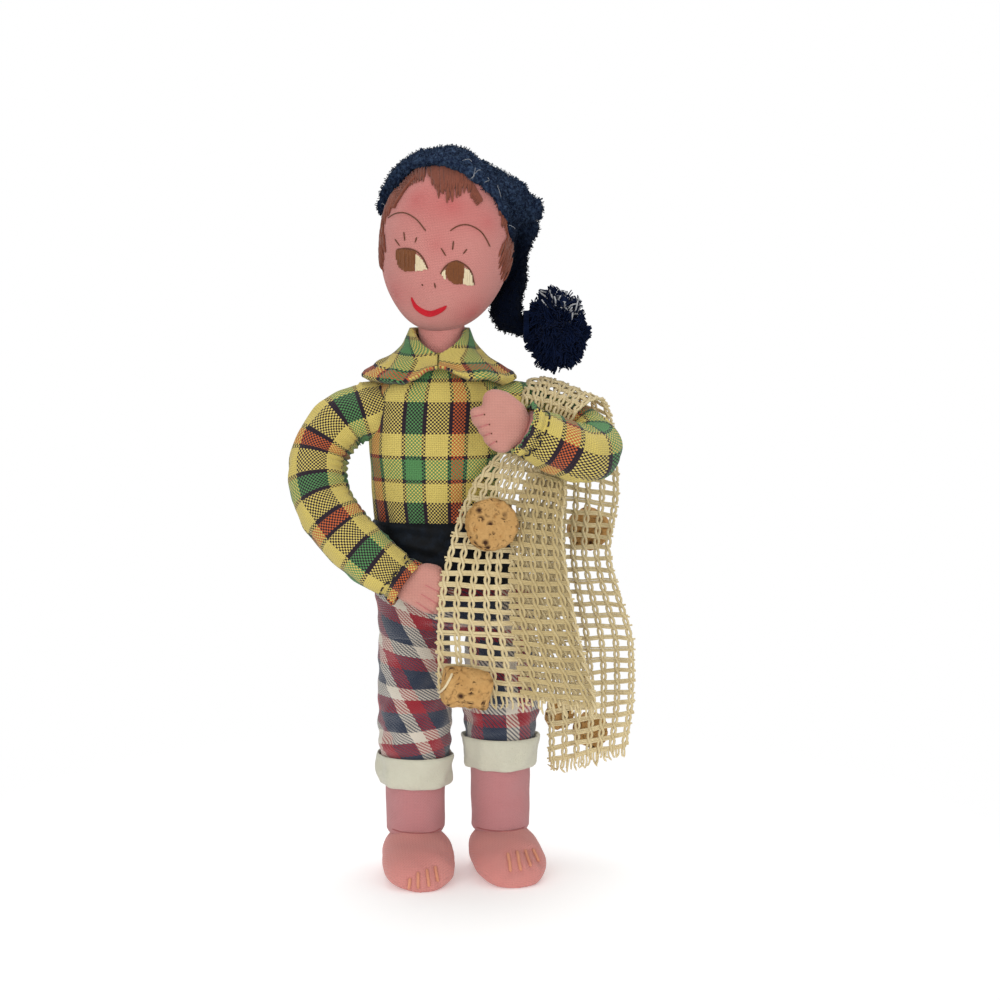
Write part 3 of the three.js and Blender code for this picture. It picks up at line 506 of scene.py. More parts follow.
def soft_noise(points, size, seed):
    """Smooth noise, about -1 to 1, with lumps about `size` millimetres wide."""
    chance = np.random.default_rng(seed)
    points = np.asarray(points, float)
    total = np.zeros(points.shape[:-1])
    waves = 9
    for _ in range(waves):
        direction = unit(chance.normal(size=3))
        pace = math.tau / (2 * size) * chance.uniform(0.6, 1.5)
        total += np.sin(points @ direction * pace + chance.uniform(0, math.tau))
    return total / math.sqrt(waves)


def bell(distances, width):
    """A smooth bump: 1 at no distance, and next to nothing at twice the width."""
    return np.exp(-((distances / width) ** 2))


def lengths_along(line):
    """The distance along a line of points to each of them."""
    return np.concatenate([[0], np.cumsum(np.linalg.norm(np.diff(line, axis=0), axis=1))])


def grid_points(x, y, z):
    """Points whose coordinates spread over one grid."""
    return np.stack(np.broadcast_arrays(x, y, z), axis=-1)


def even_turns(sides, start=0.0):
    return start + np.arange(sides) / sides * math.tau


def closed(turns):
    """Turns round a ring, with the first once more at the end."""
    return np.append(turns, turns[0] + math.tau)


def level_rings(centre, radius, turns, heights):
    """Rings about an upright line, by radius and height."""
    x = centre[0] + radius * np.cos(turns)
    y = centre[1] + radius * np.sin(turns)
    return grid_points(x, y, heights)


def oval_rings(centre, half_width, half_depth, turns, heights):
    """Level oval rings about an upright line, by turns from the front."""
    x = centre[0] + half_width * np.sin(turns)
    y = centre[1] - half_depth * np.cos(turns)
    return grid_points(x, y, heights)


class Path:
    """A smooth line through points, read by the distance along it."""

    def __init__(self, points):
        self.line, self.place = smooth_curve(points)
        self.reach = lengths_along(self.line)
        self.length = self.reach[-1]
        self.tangent = unit(np.gradient(self.line, axis=0))

    def along(self, values, distances):
        """Values known at the line's own steps, at other distances."""
        return np.stack([np.interp(distances, self.reach, column) for column in values.T], axis=-1)


class Limb(Path):
    """A tube on a path, with a steady frame and a radius at each step."""

    def __init__(self, points, radii, facing):
        super().__init__(points)
        self.radius = np.interp(self.place, np.arange(len(radii)), radii)
        side = np.asarray(facing, float)
        sides = []
        for tangent in self.tangent:
            side = unit(side - tangent * (side @ tangent))
            sides.append(side)
        self.side = np.array(sides)

    def rings(self, distances, turns, grow):
        """Points at each distance along and each turn round; `grow` is added to the radius."""
        within = np.clip(distances, 0, self.length)
        tangents = unit(self.along(self.tangent, distances))
        sides = unit(self.along(self.side, distances))
        others = np.cross(tangents, sides)
        centres = self.along(self.line, within) + tangents * (distances - within)[:, None]
        radius = np.interp(distances, self.reach, self.radius)[:, None] + grow
        radius = np.broadcast_to(radius, (len(distances), len(turns)))
        turns = turns[None, :, None]
        spokes = sides[:, None] * np.cos(turns) + others[:, None] * np.sin(turns)
        return centres[:, None] + spokes * radius[..., None]


LIMBS = {
    "right": Limb(np.array(RIGHT_ARM) + RIGHT_SHOULDER, RIGHT_ARM_RADII, (0, -1, 0)),
    "left": Limb(np.array(LEFT_ARM) + LEFT_SHOULDER, LEFT_ARM_RADII, (0, 0, 1)),
}


def in_frame(points):
    """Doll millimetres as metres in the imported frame."""
    return (np.asarray(points) + ORIGIN) * MM


def piece_of(name):
    return bpy.data.objects[name]


def link(name, mesh):
    piece = bpy.data.objects.new(name, mesh)
    bpy.context.scene.collection.objects.link(piece)
    return piece


def face_outwards(mesh):
    """Turns a closed mesh's faces outwards."""
    made = bmesh.new()
    made.from_mesh(mesh)
    bmesh.ops.recalc_face_normals(made, faces=made.faces)
    made.to_mesh(mesh)
    made.free()


def shade_smooth(mesh):
    mesh.polygons.foreach_set("use_smooth", np.ones(len(mesh.polygons), bool))


def lay_cloth(mesh, corner_places):
    """Gives a mesh its cloth coordinates, a pair for each corner of each face."""
    spread = mesh.uv_layers.new(name="cloth")
    spread.data.foreach_set("uv", np.asarray(corner_places, np.float32).ravel())


def build_piece(name, points, faces, corner_places):
    """A piece from doll points with its cloth coordinates, smooth and facing out."""
    mesh = bpy.data.meshes.new(name)
    mesh.from_pydata(in_frame(points).tolist(), [], [list(face) for face in faces])
    lay_cloth(mesh, corner_places)
    shade_smooth(mesh)
    face_outwards(mesh)
    return link(name, mesh)


def tube_piece(name, rings, cloth, ring_wrap=False):
    """Skins rings of points, with a hub at each end, or closed on itself as a wall."""
    rows, sides, _ = rings.shape
    points = [point for ring in rings for point in ring]
    faces = []
    corners = []
    for i in range(rows if ring_wrap else rows - 1):
        above = (i + 1) % rows
        for j in range(sides):
            k = (j + 1) % sides
            faces.append((i * sides + j, i * sides + k, above * sides + k, above * sides + j))
            corners += [cloth[i][j], cloth[i][j + 1], cloth[above][j + 1], cloth[above][j]]
    if not ring_wrap:
        for row in (0, rows - 1):
            hub = len(points)
            points.append(rings[row].mean(axis=0))
            middle = cloth[row].mean(axis=0)
            for j in range(sides):
                faces.append((row * sides + j, row * sides + (j + 1) % sides, hub))
                corners += [cloth[row][j], cloth[row][j + 1], middle]
    return build_piece(name, np.array(points), faces, corners)


def cloth_tube(name, outer, thickness, cloth):
    """A tube of cloth with its own thickness, from its outer rings."""
    round_about = np.roll(outer, -1, axis=1) - np.roll(outer, 1, axis=1)
    normals = unit(np.cross(round_about, np.gradient(outer, axis=0)))
    outward = np.sign(np.sum(normals * (outer - outer.mean(axis=1, keepdims=True))))
    inner = outer - normals * outward * thickness
    rings = np.concatenate([outer, inner[::-1]])
    return tube_piece(name, rings, np.concatenate([cloth, cloth[::-1]]), ring_wrap=True)


def cloth_panel(name, outer, inner, cloth):
    """An open panel of cloth between two equal grids, closed along its four edges."""
    rows, columns, _ = outer.shape
    points = np.concatenate([outer.reshape(-1, 3), inner.reshape(-1, 3)])
    back = rows * columns
    faces = []
    corners = []

    def add(*cells):
        faces.append([layer * back + i * columns + j for layer, i, j in cells])
        corners.extend(cloth[i][j] for _, i, j in cells)

    for i in range(rows - 1):
        for j in range(columns - 1):
            add((0, i, j), (0, i, j + 1), (0, i + 1, j + 1), (0, i + 1, j))
            add((1, i, j), (1, i + 1, j), (1, i + 1, j + 1), (1, i, j + 1))
    for i in range(rows - 1):
        for j in (0, columns - 1):
            add((0, i, j), (0, i + 1, j), (1, i + 1, j), (1, i, j))
    for j in range(columns - 1):
        for i in (0, rows - 1):
            add((0, i, j), (1, i, j), (1, i, j + 1), (0, i, j + 1))
    return build_piece(name, points, faces, corners)


def cloth_places(rows_mm, columns_mm, start=(0.0, 0.0)):
    """Cloth coordinates of a grid, counted from a start across and along."""
    along, across = np.meshgrid(rows_mm, columns_mm, indexing="ij")
    return np.stack([across - start[0], along - start[1]], axis=-1)


def remeshed_copy(name, node, voxel, smoothing):
    """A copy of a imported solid, remeshed and smoothed into a soft form."""
    mesh = frame["nodes"][node].data.copy()
    mesh.name = name
    merged = bmesh.new()
    merged.from_mesh(mesh)
    bmesh.ops.remove_doubles(merged, verts=merged.verts, dist=0.01 * MM)
    merged.to_mesh(mesh)
    merged.free()
    mesh.materials.clear()
    piece = link(name, mesh)
    remesh = piece.modifiers.new("Soften", "REMESH")
    remesh.mode = "VOXEL"
    remesh.voxel_size = voxel * MM
    smooth = piece.modifiers.new("Round", "SMOOTH")
    smooth.factor = 0.5
    smooth.iterations = smoothing
    apply_modifiers(piece)
    shade_smooth(piece.data)
    return piece


def apply_modifiers(piece):
    """Makes what the modifiers show the piece's own mesh."""
    name = piece.data.name
    depsgraph = bpy.context.evaluated_depsgraph_get()
    made = bpy.data.meshes.new_from_object(piece.evaluated_get(depsgraph))
    piece.modifiers.clear()
    piece.data = made
    made.name = name


def read_vectors(items, field):
    flat = np.zeros(len(items) * 3, np.float32)
    items.foreach_get(field, flat)
    return flat.reshape(-1, 3).astype(float)


def mesh_points(mesh):
    """A mesh's points in doll millimetres."""
    return read_vectors(mesh.vertices, "co") / MM - ORIGIN


def mesh_normals(mesh):
    return read_vectors(mesh.vertex_normals, "vector")


def move_points(mesh, points):
    mesh.vertices.foreach_set("co", in_frame(points).astype(np.float32).ravel())
    mesh.update()


def push_out(mesh, distances):
    """Moves each point of a mesh along its normal, by doll millimetres."""
    move_points(mesh, mesh_points(mesh) + mesh_normals(mesh) * distances[:, None])


def spread_flat(mesh, across, along):
    """Cloth coordinates from two axes of the doll's frame, for a piece without a grid."""
    points = mesh_points(mesh)
    places = np.stack([points @ np.asarray(across, float), points @ np.asarray(along, float)], axis=-1)
    corners = np.zeros(len(mesh.loops), np.int32)
    mesh.loops.foreach_get("vertex_index", corners)
    lay_cloth(mesh, places[corners])


def press_grooves(mesh, lines, width, depth):
    """Presses soft grooves into a mesh along lines of points."""
    points = mesh_points(mesh)
    nearest = np.full(len(points), np.inf)
    for line in lines:
        for start, end in zip(line[:-1], line[1:]):
            run = end - start
            share = np.clip((points - start) @ run / max(run @ run, 1e-9), 0, 1)
            gap = np.linalg.norm(points - start - share[:, None] * run, axis=1)
            nearest = np.minimum(nearest, gap)
    push_out(mesh, -depth * bell(nearest, width))


def dress(piece, material, nodes):
    """Gives a piece its material and slot, and hides the CAD nodes that it stands for."""
    piece.data.materials.clear()
    piece.data.materials.append(material)
    if nodes:
        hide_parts(*nodes)


def put_on(piece, material, body, nodes=()):
    """Dresses a piece and fixes it to a CAD body."""
    dress(piece, material, nodes)
    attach(piece, body)


def put_between(piece, material, nodes):
    """Dresses a piece and bakes its place into its mesh."""
    dress(piece, material, nodes)
    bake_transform(piece)


class Tree:
    """A Geometry Nodes tree in the making, from a mesh to a mesh in one material."""

    def __init__(self, name, **inputs):
        self.tree = bpy.data.node_groups.new(name, "GeometryNodeTree")
        sockets = {"Geometry": "Geometry", **inputs, "Material": "Material"}
        for label, kind in sockets.items():
            self.tree.interface.new_socket(label, in_out="INPUT", socket_type=f"NodeSocket{kind}")
        self.tree.interface.new_socket("Geometry", in_out="OUTPUT", socket_type="NodeSocketGeometry")
        self.given = self.tree.nodes.new("NodeGroupInput").outputs

    def node(self, kind, sockets, **settings):
        return add_node(self.tree, kind, sockets, **settings).outputs

    def line(self):
        """The given mesh's edges as a curve."""
        return self.node("GeometryNodeMeshToCurve", {0: self.given["Geometry"]})[0]

    def times(self, first, second):
        return self.node("ShaderNodeMath", {0: first, 1: second}, operation="MULTIPLY")[0]

    def vector(self, x=0.0, y=0.0, z=0.0):
        return self.node("ShaderNodeCombineXYZ", {0: x, 1: y, 2: z})[0]

    def bow(self, steps, start, middle, end):
        """A bent line of a few steps."""
        sockets = {"Resolution": steps, "Start": start, "Middle": middle, "End": end}
        return self.node("GeometryNodeCurveQuadraticBezier", sockets)[0]

    def tube(self, line, radius, sides, **more):
        """A round tube along a line, with closed ends."""
        sockets = {"Resolution": sides, "Radius": radius}
        outline = self.node("GeometryNodeCurvePrimitiveCircle", sockets, mode="RADIUS")[0]
        sockets = {"Curve": line, "Profile Curve": outline, "Fill Caps": True, **more}
        return self.node("GeometryNodeCurveToMesh", sockets)[0]

    def stand(self, places, shape, **more):
        """A copy of a shape at each place."""
        sockets = {"Points": places["Points"], "Instance": shape, **more}
        return self.node("GeometryNodeInstanceOnPoints", sockets)[0]

    def finished(self, shape):
        """The tree itself, with a shape as its result, solid, smooth and in the given material."""
        solid = self.node("GeometryNodeRealizeInstances", {0: shape})[0]
        smooth = self.node("GeometryNodeSetShadeSmooth", {0: solid})[0]
        sockets = {0: smooth, "Material": self.given["Material"]}
        painted = self.node("GeometryNodeSetMaterial", sockets)[0]
        self.tree.links.new(painted, self.tree.nodes.new("NodeGroupOutput").inputs[0])
        return self.tree


def thread_tree():
    """Lines of points become round threads, as thick at each point as its attribute says."""
    tree = Tree("Threads", Radius="Float", Sides="Int")
    thickness = tree.node("GeometryNodeInputNamedAttribute", {"Name": "thickness"}, data_type="FLOAT")[0]
    return tree.finished(tree.tube(tree.line(), tree.given["Radius"], tree.given["Sides"], Scale=thickness))


def nap_tree():
    """Bent fibres stand all over a surface, at random."""
    tree = Tree("Nap", Density="Float", Length="Float", Radius="Float", Lean="Float", Seed="Int")
    given = tree.given
    sockets = {"Mesh": given["Geometry"], "Density": given["Density"], "Seed": given["Seed"]}
    roots = tree.node("GeometryNodeDistributePointsOnFaces", sockets, distribute_method="RANDOM")
    bend = tree.bow(4, (0, 0, -0.1), (0.05, 0.1, 0.6), (0.55, 0.2, 1.0))
    fibre = tree.tube(bend, given["Radius"], 3)
    lean = given["Lean"]
    back = tree.times(lean, -1.0)
    sockets = {0: tree.vector(back, back, -math.pi), 1: tree.vector(lean, lean, math.pi), "Seed": 3}
    angles = tree.node("FunctionNodeRandomValue", sockets, data_type="FLOAT_VECTOR")[0]
    sway = tree.node("FunctionNodeEulerToRotation", {0: angles})[0]
    sockets = {0: roots["Rotation"], 1: sway}
    turn = tree.node("FunctionNodeRotateRotation", sockets, rotation_space="LOCAL")[0]
    sockets = {2: 0.6, 3: 1.25, "Seed": 7}
    share = tree.node("FunctionNodeRandomValue", sockets, data_type="FLOAT")[1]
    length = tree.times(share, given["Length"])
    return tree.finished(tree.stand(roots, fibre, Rotation=turn, Scale=length))


def stitch_tree():
    """Short stitches lie in a row along a line, each as long as given."""
    tree = Tree("Running Stitches", Spacing="Float", Length="Float", Radius="Float")
    given = tree.given
    sockets = {"Curve": tree.line(), "Length": given["Spacing"]}
    places = tree.node("GeometryNodeCurveToPoints", sockets, mode="LENGTH")
    half = tree.times(given["Length"], 0.5)
    first = tree.vector(z=tree.times(half, -1.0))
    bow = tree.bow(5, first, tree.vector(given["Radius"]), tree.vector(z=half))
    stitch = tree.tube(bow, given["Radius"], 6)
    return tree.finished(tree.stand(places, stitch, Rotation=places["Rotation"]))


TREES = {}
FINISHES = {}
TAPER = (0.45, 0.3)  # share of a thread's radius at its first and last point


def grow(name, source, tree, inputs):
    """Runs a tree on a mesh, and keeps its result as a plain mesh."""
    piece = link(name, source)
    modifier = piece.modifiers.new("Grow", "NODES")
    modifier.node_group = tree
    for socket in tree.interface.items_tree:
        if socket.in_out == "INPUT" and socket.name in inputs:
            modifier[socket.identifier] = inputs[socket.name]
    apply_modifiers(piece)
    piece.data.name = name
    return piece


def line_mesh(name, lines, taper=False, weights=()):
    """A mesh of edges along lines of doll points, with the share of the thread's radius at each."""
    points = []
    edges = []
    thickness = []
    for line, weight in zip(lines, weights or [1.0] * len(lines)):
        first = len(points)
        points.extend(line)
        edges.extend((first + i, first + i + 1) for i in range(len(line) - 1))
        share = np.full(len(line), weight)
        if taper:
            share[0] *= TAPER[0]
            share[-1] *= TAPER[1]
        thickness.extend(share)
    mesh = bpy.data.meshes.new(name)
    mesh.from_pydata(in_frame(points).tolist(), edges, [])
    attribute = mesh.attributes.new("thickness", "FLOAT", "POINT")
    attribute.data.foreach_set("value", np.array(thickness, np.float32))
    return mesh


def sew(name, lines, radius, material, body, nodes=(), sides=6, taper=False, weights=()):
    """Round threads along lines of doll points, as one piece on a CAD body."""
    inputs = {"Radius": radius * MM, "Sides": sides, "Material": material}
    piece = grow(name, line_mesh(name, lines, taper, weights), TREES["threads"], inputs)
    put_on(piece, material, body, nodes)
    return piece


def sight(pixel):
    """The direction in which the camera sees a pixel of the photograph's frame."""
    sideways = (pixel[0] - PHOTO_PIXELS / 2) / FOCAL_PIXELS
    upwards = (PHOTO_PIXELS / 2 - pixel[1]) / FOCAL_PIXELS
    ahead = np.array([0, math.cos(CAMERA_PITCH), -math.sin(CAMERA_PITCH)])
    above = np.array([0, math.sin(CAMERA_PITCH), math.cos(CAMERA_PITCH)])
    return unit(ahead + above * upwards + np.array([sideways, 0, 0]))


class Surface:
    """A finished piece that stitches lie on."""

    def __init__(self, *pieces):
        corners = []
        faces = []
        for piece in pieces:
            first = len(corners)
            corners.extend(vertex.co.copy() for vertex in piece.data.vertices)
            faces.extend([first + i for i in face.vertices] for face in piece.data.polygons)
        self.tree = BVHTree.FromPolygons(corners, faces)

    @staticmethod
    def lifted(found, height):
        """A place found on the surface as a doll point, raised along its normal."""
        hit, normal = found[:2]
        return np.array(hit) / MM - ORIGIN + np.array(normal) * height

    def under(self, pixel, height=0.0):
        """The point of the surface that the camera sees at a pixel, or the nearest to its sight."""
        eye = Vector(in_frame(CAMERA_PLACE))
        direction = Vector(sight(pixel))
        found = self.tree.ray_cast(eye, direction)
        if found[0] is None:
            found = self.tree.find_nearest(eye + direction * CAMERA_TO_DOLL)
        return self.lifted(found, height)

    def onto(self, start, direction, height):
        """The point of the surface that a ray from inside the piece leaves by."""
        return self.lifted(self.tree.ray_cast(Vector(in_frame(start)), Vector(direction)), height)

    def near(self, point, height):
        return self.lifted(self.tree.find_nearest(Vector(in_frame(point))), height)

    def trace(self, pixels, height, spacing=1.4):
        """A smooth line on the surface through pixels of the photograph's frame."""
        flat = np.column_stack([np.asarray(pixels, float), np.zeros(len(pixels))])
        curve, _ = smooth_curve(flat, 16)
        reach = lengths_along(curve)
        steps = max(int(reach[-1] / spacing), 2)
        even = np.linspace(0, reach[-1], steps + 1)
        xs = np.interp(even, reach, curve[:, 0])
        ys = np.interp(even, reach, curve[:, 1])
        return np.array([self.under(pixel, height) for pixel in zip(xs, ys)])

    def traces(self, lines, height, spacing=1.4):
        return [self.trace(line, height, spacing) for line in lines]

    def satin(self, outline, pitch, height, seed):
        """Upright satin stitches that fill an outline of pixels."""
        chance = np.random.default_rng(seed)
        corners = np.asarray(outline, float)
        lines = []
        for x in np.arange(corners[:, 0].min() + pitch / 2, corners[:, 0].max(), pitch):
            crossings = []
            for (x1, y1), (x2, y2) in zip(corners, np.roll(corners, -1, axis=0)):
                if (x1 - x) * (x2 - x) < 0:
                    crossings.append(y1 + (y2 - y1) * (x - x1) / (x2 - x1))
            if len(crossings) < 2:
                continue
            top = min(crossings) + chance.uniform(-0.5, 0.5)
            bottom = max(crossings) + chance.uniform(-0.5, 0.5)
            sway = chance.uniform(-0.3, 0.3)
            middle = (x + sway, (top + bottom) / 2)
            lines.append(self.trace([(x, top), middle, (x, bottom)], height, 2.5))
        return lines


def body_sections(rises):
    """Middle, half width and half depth of the body at heights above the hips, each as a column."""
    return [np.interp(rises, BODY_SECTIONS[:, 0], column)[:, None] for column in BODY_SECTIONS.T[1:]]


def body_rings(rises, turns, grow):
    """Rings of the body at heights above the hips, `grow` outside the stuffed body."""
    centre, half_width, half_depth = body_sections(rises)
    heights = HIP_HEIGHT + rises[:, None]
    return oval_rings((centre, 0), half_width + grow, half_depth + grow, turns, heights)


def body_around(rises, turns, grow):
    """Distance round the body at its middle level, up to 0 at the seam behind."""
    middle = len(rises) // 2
    ring = body_rings(rises[middle : middle + 1], turns, grow)[0]
    round_about = lengths_along(np.vstack([ring, ring[:1]]))
    return round_about - round_about[-1]


def rotated(first, second, angle):
    """Two coordinates, turned by an angle."""
    cosine = math.cos(angle)
    sine = math.sin(angle)
    return first * cosine - second * sine, first * sine + second * cosine


def turned_head(points):
    """Points of an upright head, turned and tilted on the neck."""
    x, y, z = np.moveaxis(np.asarray(points, float), -1, 0)
    x, y = rotated(x, y, HEAD_TURN)
    x, z = rotated(x, z, -HEAD_TILT)
    return grid_points(x, y, z)


def colours():
    return bpy.context.scene.doll_colours


def sizes():
    return bpy.context.scene.doll_sizes


def finish_of(name, make, *values):
    """A material by name, made once."""
    if name not in FINISHES:
        FINISHES[name] = make(name, *values)
    return FINISHES[name]


def skin_finish(name, colour, rouge=()):
    return finish_of(name, pink_cotton, tuple(colour), tuple(colours().blush), sizes().skin_thread, rouge)


def thread_finish(name):
    colour, shade = THREAD_COLOURS[name]
    return finish_of(name, spun_thread, linear(*colour), linear(*shade))


class DOLL_OT_stage(bpy.types.Operator):
    """Sets the floor, the soft studio light and the photograph's camera"""

    bl_idname = "doll.stage"
    bl_label = "Stage and camera"

    WHITE = (1.0, 1.0, 1.0, 1.0)
    FLOOR_WHITE = (0.98, 0.98, 0.98, 1.0)
    FLOOR_REACH = 0.5
    SKY_STRENGTH = 0.58
    LAMP_AIM = (0, 0, 0.12)
    # Place and width in metres, and power in watts
    LAMPS = {
        "key": ((-0.35, -0.95, 0.28), 0.8, 4.6),
        "fill": ((0.65, -0.8, 0.14), 0.9, 2.6),
        "top": ((0.05, 0.3, 1.15), 0.9, 5.2),
    }

    def execute(self, context):
        scene = context.scene
        scene.view_settings.view_transform = "Standard"
        self.make_camera(scene)
        self.make_floor()
        self.make_sky(scene)
        for name, lamp in self.LAMPS.items():
            self.hang_lamp(scene, name, *lamp)
        return {"FINISHED"}

    def make_camera(self, scene):
        camera = bpy.data.cameras.new("camera")
        camera.sensor_width = SENSOR_WIDTH
        camera.lens = FOCAL_PIXELS / PHOTO_PIXELS * SENSOR_WIDTH
        camera.clip_start = 0.01
        held = bpy.data.objects.new("camera", camera)
        held.location = in_frame(CAMERA_PLACE)
        held.rotation_euler = (math.pi / 2 - CAMERA_PITCH, 0, 0)
        scene.collection.objects.link(held)
        scene.camera = held

    def make_floor(self):
        """A pale floor that fades away from the doll."""
        mesh = bpy.data.meshes.new("floor")
        reach = self.FLOOR_REACH
        corners = [(-reach, -reach, 0), (reach, -reach, 0), (reach, reach, 0), (-reach, reach, 0)]
        mesh.from_pydata(corners, [], [(0, 1, 2, 3)])
        floor = link("floor", mesh)
        plain = {"Base Color": self.FLOOR_WHITE, "Roughness": 0.95, "Specular IOR Level": 0.0}
        glow = {"Emission Color": self.FLOOR_WHITE, "Emission Strength": 0.2}
        finish = Finish("pale_floor", {**plain, **glow})
        share = 1.6 - finish.distance(-ORIGIN) * MM / reach * 4
        finish.feed("Alpha", share.within(0, 1))
        mesh.materials.append(finish.material)

    def make_sky(self, scene):
        """Soft white light all round, and plain white where the camera sees it."""
        world = bpy.data.worlds.new("studio")
        scene.world = world
        world.use_nodes = True
        tree = world.node_tree
        lamp = tree.nodes["Background"]
        lamp.inputs["Color"].default_value = self.WHITE
        lamp.inputs["Strength"].default_value = self.SKY_STRENGTH
        seen = add_node(tree, "ShaderNodeBackground", {"Color": self.WHITE})
        path = add_node(tree, "ShaderNodeLightPath", {})
        shown = path.outputs["Is Camera Ray"]
        for ray in ("Is Glossy Ray", "Is Transmission Ray"):
            sockets = {0: shown, 1: path.outputs[ray]}
            shown = add_node(tree, "ShaderNodeMath", sockets, operation="MAXIMUM").outputs[0]
        sockets = {0: shown, 1: lamp.outputs[0], 2: seen.outputs[0]}
        pick = add_node(tree, "ShaderNodeMixShader", sockets)
        tree.links.new(pick.outputs[0], tree.nodes["World Output"].inputs[0])

    def hang_lamp(self, scene, name, place, size, power):
        lamp = bpy.data.lights.new(name, "AREA")
        lamp.shape = "DISK"
        lamp.size = size
        lamp.energy = power
        hung = bpy.data.objects.new(name, lamp)
        hung.location = place
        aim = Vector(self.LAMP_AIM) - hung.location
        hung.rotation_euler = aim.to_track_quat("-Z", "Y").to_euler()
        scene.collection.objects.link(hung)


class DOLL_OT_body(bpy.types.Operator):
    """Makes the stuffed body, arms and neck, and finishes the wires inside them"""

    bl_idname = "doll.body"
    bl_label = "Stuffed body"

    ARM_ROOT_LENGTH = 18
    ARM_ROOT_TAPER = 3.2
    NECK_GATHERS = 9
    # Height above the body's top and radius
    NECK_SECTIONS = ((-4, 6.6), (0, 7.0), (4, 7.3), (8, 7.6), (13, 6.4))
    WIRES = ("spine_wire", "right_arm_wire", "left_arm_wire", "right_leg_wire", "left_leg_wire")

    def execute(self, context):
        skin = skin_finish("pink_cotton", colours().skin)
        self.make_torso(skin)
        for side, limb in LIMBS.items():
            self.make_arm(side, limb, skin)
        self.make_neck(skin)
        wire = finish_of("soft_wire", soft_wire)
        for name in self.WIRES:
            mesh = frame["nodes"][name].data
            mesh.materials.clear()
            mesh.materials.append(wire)
        return {"FINISHED"}

    def make_torso(self, skin):
        rises = np.linspace(*BODY_SECTIONS[[0, -1], 0], 64)
        turns = even_turns(72, -math.pi)
        swell = -0.25 + soft_noise(body_rings(rises, turns, 0), size=7, seed=11) * 0.2
        cloth = cloth_places(rises, closed(turns) * CLOTH_RADII["body"])
        torso = tube_piece("torso_bag", body_rings(rises, turns, swell), cloth)
        put_on(torso, skin, "torso", ["torso_body"])

    def make_arm(self, side, limb, skin):
        distances = np.linspace(0, limb.length, 90)
        turns = even_turns(36)
        root = np.clip(1 - distances / self.ARM_ROOT_LENGTH, 0, 1)[:, None] * self.ARM_ROOT_TAPER
        swell = soft_noise(limb.rings(distances, turns, 0), size=5, seed=12) * 0.15 - 0.2 - root
        cloth = cloth_places(distances, closed(turns) * CLOTH_RADII["arm"])
        arm = tube_piece(f"{side}_arm_bag", limb.rings(distances, turns, swell), cloth)
        put_on(arm, skin, f"{side}_arm", [f"{side}_arm"])

    def make_neck(self, skin):
        heights = np.linspace(BODY_TOP - 4, BODY_TOP + 13, 34)
        turns = even_turns(48)
        rises = heights - BODY_TOP
        radius = np.interp(rises, *zip(*self.NECK_SECTIONS))[:, None]
        gather = 0.12 * np.sin(turns * self.NECK_GATHERS)[None]
        gather = gather * np.interp(rises, [4, 12], [0, 1])[:, None]
        rings = level_rings(NECK, radius + gather, turns, heights[:, None])
        neck = tube_piece("neck_bag", rings, cloth_places(heights, closed(turns) * CLOTH_RADII["neck"]))
        put_on(neck, skin, "torso", ["neck"])


